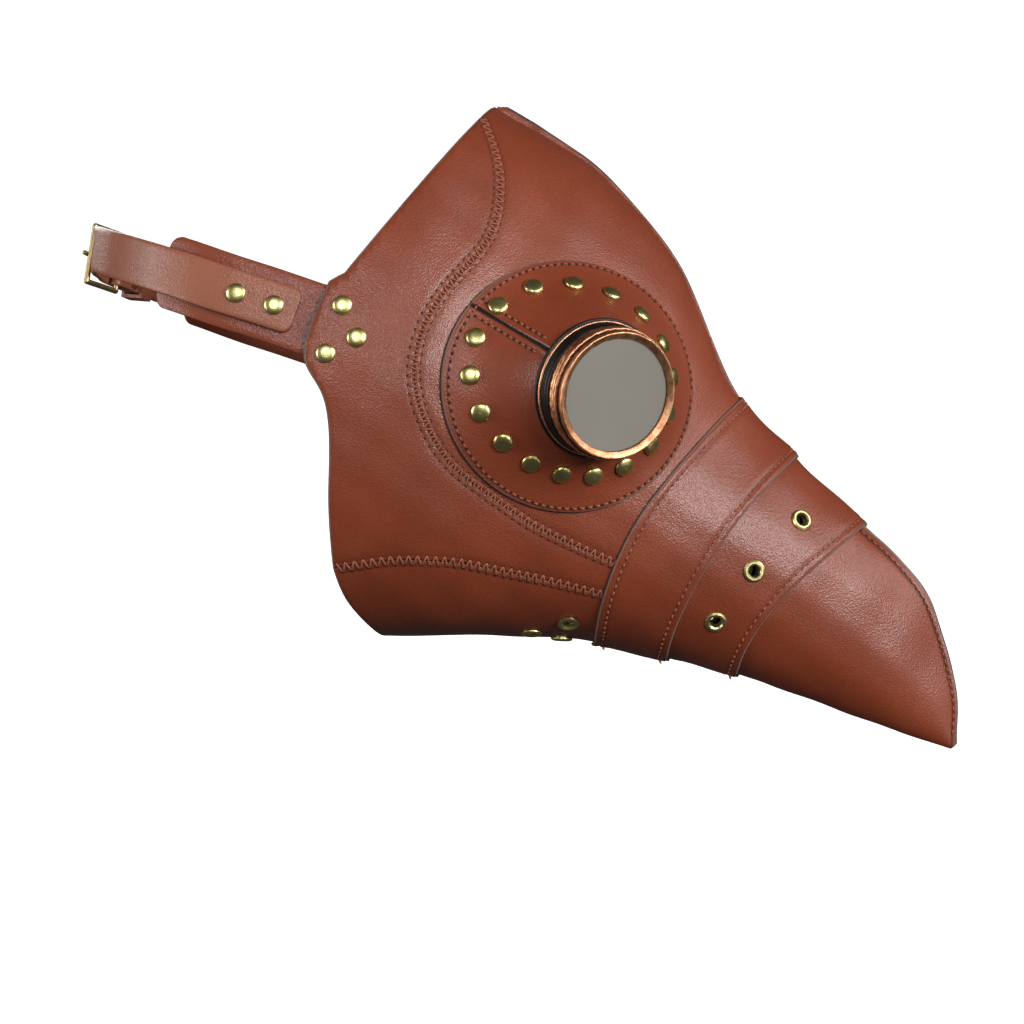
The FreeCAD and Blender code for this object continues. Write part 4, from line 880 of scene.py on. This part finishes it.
def eye_cones():
    """The stitched leather cones under the goggles, with their radial seam and flat lip."""
    rings = 22
    near = np.arange(-7.0, 7.01, 0.35) / CONE_FOOT
    far = np.linspace(near[-1], 2 * math.pi + near[0], 172)[1:-1]
    angles = np.concatenate([near, far]) + EYE_SEAM_ANGLE
    around = len(angles)
    rows, row_normals, seam_shade = [], [], []
    for share in np.linspace(0, 1, rings):
        points = cone_points(angles, np.full(around, share))
        normal = cone_normals(angles, np.full(around, share))
        turn = np.abs(np.angle(np.exp(1j * (angles - EYE_SEAM_ANGLE))))
        away = turn * cone_radius(share)
        dent = -0.75 * np.exp(-(away / 0.55) ** 2) + 0.20 * np.exp(-((away - 1.3) / 0.6) ** 2)
        # Painted shade along the radial seam's groove.
        seam_shade.append(np.exp(-(away / 0.8) ** 2))
        dent -= 0.28 * np.exp(-((share - RIM_STITCH_SHARE) / 0.03) ** 2)
        points = points + normal * dent[:, None]
        rows.append(points)
        row_normals.append(normal)
    lip_normal = np.broadcast_to(AXIS, rows[0].shape)
    for radius in (LIP_RADIUS, GOGGLE_HOLE):
        rows.append(goggle_circle(angles, radius))
        row_normals.append(lip_normal)
    outer, normals = np.vstack(rows), np.vstack(row_normals)
    faces = []
    for row in range(len(rows) - 1):
        for k in range(around):
            a, b = row * around + k, row * around + (k + 1) % around
            faces += [(a, b + around, b), (a, a + around, b + around)]
    faces = facing_out(np.array(faces), outer, normals)
    groove_shade = np.concatenate(seam_shade + [np.zeros(around)] * (len(rows) - rings))
    verts, faces, slots = closed_sheet(outer, normals, faces, LEATHER, False)
    groove_shade = sheet_groove_shade(groove_shade, verts)
    outside = len(outer)
    # Faces deep in the radial seam's groove take the near-black hole material: painted shade.
    slots = [3 if max(face) < outside and groove_shade[list(face)].mean() > 0.6 else slot
             for face, slot in zip(faces, slots)]
    both_hands("eye_cone_leather", verts, faces, PANEL_LOOKS + [HOLE_SHADE], slots,
               groove_shade, "eye_cone")


def eye_stitches(thread):
    """The seam round the cone's rim and the two rows beside its radial seam."""
    angles = np.linspace(0, 2 * math.pi, 400)
    share = np.full(len(angles), RIM_STITCH_SHARE)
    normals = cone_normals(angles, share)
    thread.along(cone_points(angles, share) - normals * 0.1, normals, RIM_PITCH)
    share = np.linspace(0.12, 0.93, 60)
    for side in (-EYE_SEAM_HALF, EYE_SEAM_HALF):
        angle = EYE_SEAM_ANGLE + side / cone_radius(share)
        normals = cone_normals(angle, share)
        thread.along(cone_points(angle, share), normals, EYE_SEAM_PITCH)


# ------------------------------------------------------------------ goggles

def turned_piece(name, profile, materials, face_slots, replaces, body, chatter=None):
    """A turned ring from a closed (radius, height) profile, on both goggles."""
    around, count = TURNED_SIDES, len(profile)
    angles = np.linspace(0, 2 * math.pi, around, endpoint=False)
    rows = [goggle_circle(angles, radius + (chatter(angles, radius, height) if chatter else 0.0))
            + AXIS * height for radius, height in profile]
    faces, slots = [], []
    for row in range(count):
        first, following = row * around, (row + 1) % count * around
        for k in range(around):
            after = (k + 1) % around
            faces.append((first + k, first + after, following + after, following + k))
            slots.append(face_slots[row])
    both_hands(name, np.vstack(rows), faces, materials, slots, None, replaces, body)


def ring_chatter(angles, radius, height):
    """The cast, hammered look of the screw ring's skirt and bead."""
    if radius < 26.2:
        return 0.05 * np.sin(23 * angles + height)
    rough = 0.10 * np.sin(61 * angles + 2.1 * height) + 0.08 * np.sin(37 * angles - 1.3 * height)
    return rough + 0.06 * np.sin(11 * angles + 0.7)


def goggles():
    """Screw rings and bodies with their grooves, cast texture and worn edges."""
    ring = [(25.08, 8.6), (26.1, 8.6), (26.4, 8.75), (26.6, 9.1), (26.62, 9.9), (26.45, 10.1),
            (26.45, 10.4), (26.62, 10.6), (26.62, 11.4), (26.45, 11.6), (26.45, 11.9), (26.6, 12.1),
            (26.65, 12.5), (26.85, 12.8), (27.0, 13.1), (27.0, 13.8), (26.85, 14.1), (26.4, 14.35),
            (25.85, 14.5), (25.7, 14.8), (25.7, 15.2), (25.85, 15.5), (25.95, 15.7), (25.97, 16.9),
            (25.85, 17.4), (25.6, 17.7), (25.3, 17.78), (24.9, 17.65), (23.3, 16.75), (22.95, 16.5),
            (22.8, 16.2), (22.8, 15.8), (25.08, 15.8)]
    slots = [1 if 14.3 < height < 15.5 else 0 for _, height in ring]
    slots[-3:] = [1, 1, 1]
    turned_piece("screw_ring", ring, [COPPER, PATINA], slots, "lens_ring",
                 "lens_ring", ring_chatter)
    body = [(21.9, -4.6), (24.0, -4.6), (24.0, 0.02), (28.2, 0.02), (28.5, 0.3), (28.6, 0.8),
            (28.45, 1.25), (28.0, 1.4), (27.75, 1.5), (27.7, 1.9), (27.6, 2.2), (27.2, 2.4),
            (26.75, 2.5), (26.7, 3.6), (27.0, 3.9), (27.0, 5.2), (26.75, 5.5), (26.75, 5.9),
            (26.95, 6.2), (26.8, 7.3), (26.3, 8.1), (25.0, 8.1), (25.0, 12.6), (21.9, 12.6)]
    slots = [1 if 8 <= index <= 10 else 0 for index in range(len(body))]
    turned_piece("goggle_tube", body, [GOGGLE_BLACK, COPPER], slots, "goggle_body",
                 BODY)


# ------------------------------------------------------------------ straps

def strap_route():
    """The strap line's nodes and tangents, and the first node of its straight buckle run."""
    right = np.array(ROUTE_RIGHT)
    run = np.array([BUCKLE_RUN[0] + (BUCKLE_RUN[1] - BUCKLE_RUN[0]) * k / (RUN_NODES - 1)
                    for k in range(RUN_NODES)])
    left = np.vstack([np.array(ROUTE_LEFT_FRONT), run, right[-1:]])
    nodes = np.vstack([right[:-1], left[::-1]])
    tangents = np.gradient(nodes, axis=0)
    first = len(nodes) - len(ROUTE_LEFT_FRONT) - RUN_NODES
    tangents[first:first + RUN_NODES] = (BUCKLE_RUN[0] - BUCKLE_RUN[1]) / (RUN_NODES - 1)
    return nodes, tangents, first


ROUTE, ROUTE_TANGENTS, RUN_FIRST = strap_route()


def route_frames(t):
    """Position, tangent, outward and upward directions of the strap line at parameters t."""
    t = np.clip(t, 0, len(ROUTE) - 1 - 1e-9)
    i = t.astype(int)
    u = (t - i)[:, None]
    p, q, a, b = ROUTE[i], ROUTE[i + 1], ROUTE_TANGENTS[i], ROUTE_TANGENTS[i + 1]
    place = (p * (2 * u ** 3 - 3 * u ** 2 + 1) + a * (u ** 3 - 2 * u ** 2 + u)
             + q * (3 * u ** 2 - 2 * u ** 3) + b * (u ** 3 - u ** 2))
    slope = unit(p * (6 * u ** 2 - 6 * u) + a * (3 * u ** 2 - 4 * u + 1)
                 + q * (6 * u - 6 * u ** 2) + b * (3 * u ** 2 - 2 * u))
    out = unit(np.cross(slope, np.array((0, 0, -1.0))))
    centre = np.stack([np.full(len(t), HEAD_MIDDLE_X), np.zeros(len(t)), place[:, 2]], axis=1)
    out = np.where(((place - centre) * out).sum(1)[:, None] < 0, -out, out)
    up = np.cross(out, slope)
    up = np.where(up[:, 2:] < 0, -up, up)
    return (place, slope, out * math.cos(STRAP_LEAN) + up * math.sin(STRAP_LEAN),
            up * math.cos(STRAP_LEAN) - out * math.sin(STRAP_LEAN))


def route_at(x):
    """The strap line's parameter at x on the right side."""
    low, high = 0.0, float(len(ROUTE_RIGHT) - 2)
    for _ in range(40):
        t = (low + high) / 2
        low, high = (t, high) if route_frames(np.array([t]))[0][0, 0] > x else (low, t)
    return low


def run_at(distance):
    """The strap line's parameter at a distance in front of the buckle's heel bar."""
    length = np.linalg.norm(BUCKLE_RUN[1] - BUCKLE_RUN[0])
    return RUN_FIRST + (RUN_NODES - 1) * (1 - (HEEL_BAR_AT + distance) / length)


def ease(value):
    """A smooth step from 0 to 1."""
    value = np.clip(value, 0, 1)
    return value * value * (3 - 2 * value)


def strip_mesh(t, half, lift, thick):
    """A strap with softly rounded edges along the strap line; half and lift are arrays."""
    place, _, out, up = route_frames(t)
    middle = place + out * lift[:, None]
    edge, inset = thick / 2, thick / 2 * 0.55
    ring = []
    for side in (1, -1):
        ring += [(side * across, 0.0, -side * edge) for across in np.linspace(-1, 1, 13)]
        ring += [(side, side * math.cos(turn) * inset, side * math.sin(turn) * edge)
                 for turn in np.linspace(-math.pi / 2, math.pi / 2, 6)[1:-1]]
    verts = np.stack([middle + up * (across * (half - inset) + extra)[:, None] + out * height
                      for across, extra, height in ring], axis=1)
    return verts.reshape(-1, 3), tube_faces(*verts.shape[:2])


def end_round(distance, radius):
    """How much of its half width a strip loses near a rounded corner end."""
    near = np.clip(radius - distance, 0, radius)
    return radius - np.sqrt(np.maximum(radius ** 2 - near ** 2, 0))


def strip_lengths(t):
    """Distances along the strap line from its first parameter."""
    return run_lengths(route_frames(t)[0])


def dense_ends(start, end, count):
    """Parameters bunched at both ends, where the corners are rounded."""
    u = np.linspace(0, 1, count)
    return start + (end - start) * (u - 0.9 * np.sin(2 * math.pi * u) / (2 * math.pi))


def strap_leather(node_name, t, half, lift):
    """One of the two straps, from the parameters, half widths and lifts along it."""
    verts, faces = strip_mesh(t, half, lift, STRAP_THICK)
    thing = make_object(f"{node_name}_leather", verts, faces, [STRAP_SHEEN_SKIN])
    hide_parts(node_name)


def strap_pieces():
    """The two strap tabs, the long strap with its tail and the short buckle strap."""
    tab_t = dense_ends(route_at(TAB_FRONT), route_at(TAB_REAR), 90)
    run = strip_lengths(tab_t)
    half = TAB_WIDTH / 2 + 2.0 * (1 - ease(np.abs(run - 12) / 14)) - end_round(run[-1] - run, 5.0)
    half -= end_round(run, 8.0)
    verts, faces = strip_mesh(tab_t, half, np.zeros(len(tab_t)), LEATHER)
    both_hands("strap_tab_leather", verts, faces, [LEATHER_SKIN],
               replaces="strap_tab")

    long_t = dense_ends(route_at(STRAP_FRONT), run_at(TAIL_TIP), 420)
    run = strip_lengths(long_t)
    along = (np.linalg.norm(BUCKLE_RUN[1] - BUCKLE_RUN[0])
             * (1 - (long_t - RUN_FIRST) / (RUN_NODES - 1)) - HEEL_BAR_AT)
    lift = (STRAP_LIFT + 0.5 * (1 - ease((along - 22.0) / 8.0))
            + (TAIL_RISE - 0.5) * (1 - ease((along - 3.0) / 13.5)))
    half = STRAP_WIDTH / 2 - end_round(run, 4.0) - end_round(run[-1] - run, 8.0)
    strap_leather("strap_long", long_t, half, lift)

    short_t = dense_ends(run_at(SHORT_END), len(ROUTE) - 1 - route_at(STRAP_FRONT), 200)
    run = strip_lengths(short_t)
    half = STRAP_WIDTH / 2 - end_round(run[-1] - run, 4.0)
    strap_leather("strap_short", short_t, half, np.full(len(short_t), STRAP_LIFT))


# ------------------------------------------------------------------ assembly of the leather

def circle_run(radius):
    """A circle round the eye in the side outline, as a run of x, z points."""
    turn = np.linspace(0, 2 * math.pi, 73)
    return [(EYE_CENTRE[0] + radius * math.cos(a), EYE_CENTRE[1] + radius * math.sin(a))
            for a in turn]


def ridge_depth(s, angle):
    """How far down the section chord each place lies from the ridge of the beak tip."""
    tx, tz, bx, bz = grown(s, TIP_OFFSET)[:4]
    return np.sin(angle / 2) ** 2 * np.hypot(bx - tx, bz - tz)


def tip_surface(s, angle):
    """Outer face of the right half of the beak tip: sewn flat at the ridge, folded below."""
    base = skin(s, angle, TIP_OFFSET)
    normal = skin_normal(s, angle, TIP_OFFSET)
    height, _ = relief(base)
    down = ridge_depth(s, angle)
    groove = 0.35 * np.exp(-((down - RIDGE_INSET) / 0.8) ** 2)
    fade = np.clip((LAST_STATION - s) / 1.5, 0, 1)
    points = base + normal * (height * fade)[:, None]
    share = np.sin(angle / 2) ** 2
    fin = 1.5 * np.exp(-(down / 3.6) ** 4) * np.clip((LAST_STATION + 0.3 - s) / 0.8, 0, 1)
    points[:, 1] = -np.hypot(points[:, 1], fin) + groove
    under = 0.8 * np.exp(-((1 - share) / 0.03) ** 2) * fade
    points[:, 1] = np.minimum(-np.hypot(points[:, 1], under), -0.05)
    # The last value is painted shade for the stitch groove below the ridge.
    return points, normal, np.exp(-((down - RIDGE_INSET) / 0.8) ** 2)


def tip_panel():
    """The two sewn halves of the beak tip, with their raw ridge edge."""
    rows = np.concatenate([np.linspace(BEAK_START, 11.5, 90), np.linspace(11.54, 12, 14)])
    shares = np.concatenate([np.linspace(0, 0.09, 14)[:-1], np.linspace(0.09, 0.9, 40)[:-1],
                             np.linspace(0.9, 1, 12)])
    columns = 2 * np.arcsin(np.sqrt(shares))
    s, angle = [a.ravel() for a in np.meshgrid(rows, columns, indexing="ij")]
    points, normal, groove_shade = tip_surface(s, angle)
    width = len(columns)
    faces = []
    for row in range(len(rows) - 1):
        for k in range(width - 1):
            a = row * width + k
            faces += [(a, a + 1, a + width + 1), (a, a + width + 1, a + width)]
    faces = facing_out(np.array(faces), points, normal, len(faces) // 2)
    inner_thick = LEATHER * np.clip((LAST_STATION - s) / 0.6, 0.1, 1)
    inner_base = points - normal * inner_thick[:, None]
    inner_base[:, 1] = np.minimum(inner_base[:, 1], -0.02)
    ridge = ridge_depth(s, angle)[faces].mean(axis=1) < 1.0
    verts, faces, slots = closed_sheet(points, (points - inner_base) / LEATHER, faces, LEATHER,
                                       False)
    slots[:len(ridge)] = [2 if bare else 0 for bare in ridge]
    both_hands("beak_tip_leather", verts, faces, PANEL_LOOKS, slots,
               sheet_groove_shade(groove_shade, verts), "beak_tip")


def top_seam():
    """The raw standing seam down the forehead and nose, highest and waviest at the top."""
    s = np.linspace(3.93, 7.25, 260)
    share = (s - s[0]) / (s[-1] - s[0])
    tx, tz = grown(s, FACE_OFFSET)[:2]
    slope = unit(np.stack([np.gradient(tx), np.gradient(tz)], axis=1))
    out = np.stack([-slope[:, 1], np.zeros(len(s)), slope[:, 0]], axis=1)
    base = np.stack([tx, np.zeros(len(s)), tz], axis=1)
    high = 0.8 + 1.7 * (1 - ease(share * 1.9)) + 0.3 * np.sin(23 * share) * (1 - share)
    high *= 0.35 + 0.65 * ease(share / 0.03)
    sway = (0.7 * np.sin(34 * share) + 0.4 * np.sin(81 * share + 1)) * (1 - share) ** 2
    profile = [(1.5, -1.6, 0), (1.5, 0.0, 0), (1.5, 0.5, 0), (1.42, 0.68, 0), (1.2, 0.98, 2),
               (0.75, 1.03, 2), (0.2, 0.98, 2), (0.05, 0.8, 2), (0.05, -1.6, 2)]
    rows = []
    for side, lift, _ in profile:
        height = np.where(lift > 0, lift * high, lift)
        place = base + out * height[:, None]
        place[:, 1] -= side - sway * np.clip(lift, 0, 1)
        rows.append(place)
    verts = np.stack(rows, axis=1).reshape(-1, 3)
    width = len(profile)
    faces, slots = [], []
    for row in range(len(s) - 1):
        for k in range(width - 1):
            a = row * width + k
            faces.append((a, a + 1, a + width + 1, a + width))
            slots.append(profile[k + 1][2])
    faces += [tuple(range(width))[::-1], tuple((len(s) - 1) * width + k for k in range(width))]
    slots += [2, 2]
    # The left leaf is a mirror image, but it sways the same way as the right one.
    lean = np.outer(sway, np.clip([lift for _, lift, _ in profile], 0, 1)).ravel()
    left = verts.copy()
    left[:, 1] = 2 * lean - verts[:, 1]
    for hand, placed, f in (("R", verts, faces), ("L", left, [face[::-1] for face in faces])):
        # The seam's top faces take the near-black edge colour, partly painted shade.
        thing = make_object(f"top_seam_{hand}", placed, f, [LEATHER_SKIN, BACKING, RAW_EDGE_AND_SHADE], slots)


def sewn_lines():
    """Every sewn line of the face and bands, as places on the skin with their layer."""
    lines = {"brow": (skin_line(BROW_SEAM, FACE_OFFSET), FACE_OFFSET),
             "chin": (skin_line(CHIN_SEAM, FACE_OFFSET), FACE_OFFSET)}
    for name, run, inset, offset in (("collar_rear", COLLAR_REAR, EDGE_INSET, COLLAR_OFFSET),
                                     ("collar_front", COLLAR_FRONT, -EDGE_INSET, COLLAR_OFFSET),
                                     ("vent_front", VENT_FRONT, -EDGE_INSET, FACE_OFFSET)):
        lines[name] = (shifted_line(skin_line(run, offset), inset, offset), offset)
    return lines


def ridge_line(start, end):
    """The sewn line below the ridge of the beak tip."""
    s = np.linspace(start, end, 160)
    tx, tz, bx, bz = grown(s, TIP_OFFSET)[:4]
    share = np.clip(RIDGE_INSET / np.hypot(bx - tx, bz - tz), 0, 0.45)
    angle = 2 * np.arcsin(np.sqrt(share))
    points, normal, _ = tip_surface(s, angle)
    return points, unit(normal + np.array((0.0, -0.6, 0.0)))


def build_leather():
    """The grooves, every leather panel of the face and beak, and their sewing."""
    lines = sewn_lines()
    for name, (places, offset) in lines.items():
        if name in ("brow", "chin"):
            relief.add(places, offset, *BUTT_GROOVE)
            for side in (-1, 1):
                relief.add(shifted_line(places, side * SEAM_HALF, offset), offset, *ROW_GROOVE)
        else:
            relief.add(places, offset, *EDGE_GROOVE)
    leather_panel("brow_leather", BROW_OUTLINE, FACE_OFFSET, "brow_panel",
                  holes=[outline_loop([circle_run(EYE_HOLE)], FACE_OFFSET)])
    leather_panel("temple_leather", TEMPLE_OUTLINE, FACE_OFFSET, "temple_panel")
    chin_holes = [round_hole(s, angle, FACE_OFFSET, EYELET_HOLE)
                  for s, angle in chin_eyelet_places()]
    leather_panel("chin_leather", CHIN_OUTLINE, FACE_OFFSET, "chin_panel",
                  holes=chin_holes, joined=True)
    leather_panel("collar_leather", COLLAR_OUTLINE, COLLAR_OFFSET, "collar_band",
                  joined=True)
    places = skin_place([x for x, _ in VENT_EYELETS], [z for _, z in VENT_EYELETS], FACE_OFFSET)
    vent_holes = [round_hole(s, angle, FACE_OFFSET, EYELET_HOLE) for s, angle in zip(*places)]
    leather_panel("vent_leather", VENT_OUTLINE, FACE_OFFSET, "vent_band",
                  holes=vent_holes, joined=True)
    top_seam()
    tip_panel()
    eye_cones()
    thread = ThreadWork()
    for name, (places, offset) in lines.items():
        if name in ("brow", "chin"):
            thread.zigzag(places, offset, SEAM_HALF, SEAM_PITCH)
        else:
            thread.straight(places, offset, EDGE_PITCH)
            end = relief_points(clear_of_middle(places, 0.16)[-1:], offset)[0][0]
            thread.loose_end(end, np.array((0.25, -0.1, -0.97)), 2.6)
    eye_stitches(thread)
    points, normals = ridge_line(8.8, 11.85)
    thread.along(points, normals, EDGE_PITCH)
    thread.finish("stitching")


# ------------------------------------------------------------------ metal and glass of the frame

def dress_frame():
    """Give the carried-over CAD nodes their materials."""
    looks = {
        "eye_rivets": BRASS, "temple_rivets": BRASS, "strap_rivets": BRASS, "chape_rivets": BRASS,
        "vent_eyelets": EYELET_BRASS, "chin_eyelets": EYELET_BRASS, "goggle_body": GOGGLE_BLACK,
        "goggle_clamp": GOGGLE_BLACK, "lens_ring": COPPER, "lens_gasket": RUBBER,
        "buckle": BUCKLE_BRASS, "buckle_chape": STRAP_SHEEN_SKIN, "strap_keeper": STRAP_SHEEN_SKIN,
        "lens": LENS,
    }
    for name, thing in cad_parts.items():
        match = max((key for key in looks if name.startswith(key)), key=len, default=None)
        if match:
            thing.data.materials.clear()
            thing.data.materials.append(looks[match])


# ------------------------------------------------------------------ stage

STAGE_MIDDLE = Vector((0.08, 0.0, -0.02))
CAMERA_AT, CAMERA_LENS, CAMERA_SENSOR = (0.073, -1.6, -0.05), 133.9, 36.0
FLOOR_Z, BEND_Y, BEND_RADIUS = -0.42, 1.2, 1.2
WORLD_STRENGTH = 0.045
LIGHTS = {  # place and size in metres, power in watts
    "key": ((1.20, -1.28, 0.36), (0.75, 0.55), 19),
    "right": ((1.49, -0.45, 0.62), (1.2, 0.5), 8),
    "front": ((-0.05, -1.75, 0.46), (0.5, 0.4), 7),
    "side": ((-1.5, -0.5, 0.15), (0.8, 0.8), 12),
    "low": ((1.4, -0.75, -0.42), (0.7, 0.5), 0.9),
    "back": ((-0.7, 1.6, 0.75), (1.4, 0.9), 16),
}


def pale_sweep():
    """The pale floor that bends up into a backdrop."""
    profile = [(-6.0, FLOOR_Z), (BEND_Y, FLOOR_Z)]
    profile += [(BEND_Y + BEND_RADIUS * math.sin(a), FLOOR_Z + BEND_RADIUS * (1 - math.cos(a)))
                for a in np.linspace(0.1, math.pi / 2, 14)]
    profile += [(BEND_Y + BEND_RADIUS, 6.0)]
    verts = [(x, y, z) for y, z in profile for x in (-8.0, 8.0)]
    faces = [(2 * k, 2 * k + 1, 2 * k + 3, 2 * k + 2) for k in range(len(profile) - 1)]
    mesh = bpy.data.meshes.new("sweep")
    mesh.from_pydata(verts, [], faces)
    mesh.polygons.foreach_set("use_smooth", [True] * len(faces))
    made, tree, shader = material("pale_sweep")
    cloud = noise(tree, node(tree, "ShaderNodeTexCoord", output="Object"), 0.6, 1.0)
    stops = [(0.3, (0.86, 0.86, 0.86)), (0.7, (0.9, 0.9, 0.9))]
    plug(tree, shader, {"Base Color": colour_ramp(tree, cloud, stops), "Roughness": 0.9,
                        "Emission Color": (1, 1, 1, 1), "Emission Strength": 0.9})
    mesh.materials.append(made)
    sweep = add_to_scene("sweep", mesh)
    sweep.visible_glossy = False
    sweep.visible_diffuse = False


def build_stage():
    """Pale sweep, soft lights and the camera."""
    pale_sweep()
    world = bpy.data.worlds.new("studio")
    world.use_nodes = True
    plug(world.node_tree, world.node_tree.nodes["Background"],
         {"Color": (1, 1, 1, 1), "Strength": WORLD_STRENGTH})
    bpy.context.scene.world = world
    for name, (place, size, power) in LIGHTS.items():
        light = bpy.data.lights.new(name, "AREA")
        light.shape = "RECTANGLE"
        light.size, light.size_y = size
        light.energy = power
        thing = add_to_scene(name, light)
        thing.location = place
        aim = STAGE_MIDDLE - Vector(place)
        thing.rotation_euler = aim.to_track_quat("-Z", "Y").to_euler()
    camera = bpy.data.cameras.new("camera")
    camera.sensor_width = CAMERA_SENSOR
    camera.lens = CAMERA_LENS
    thing = add_to_scene("camera", camera)
    thing.location = CAMERA_AT
    thing.rotation_euler = (math.pi / 2, 0, 0)
    bpy.context.scene.camera = thing
    bpy.context.scene.view_settings.view_transform = "Standard"


build_leather()
goggles()
strap_pieces()
dress_frame()
build_stage()
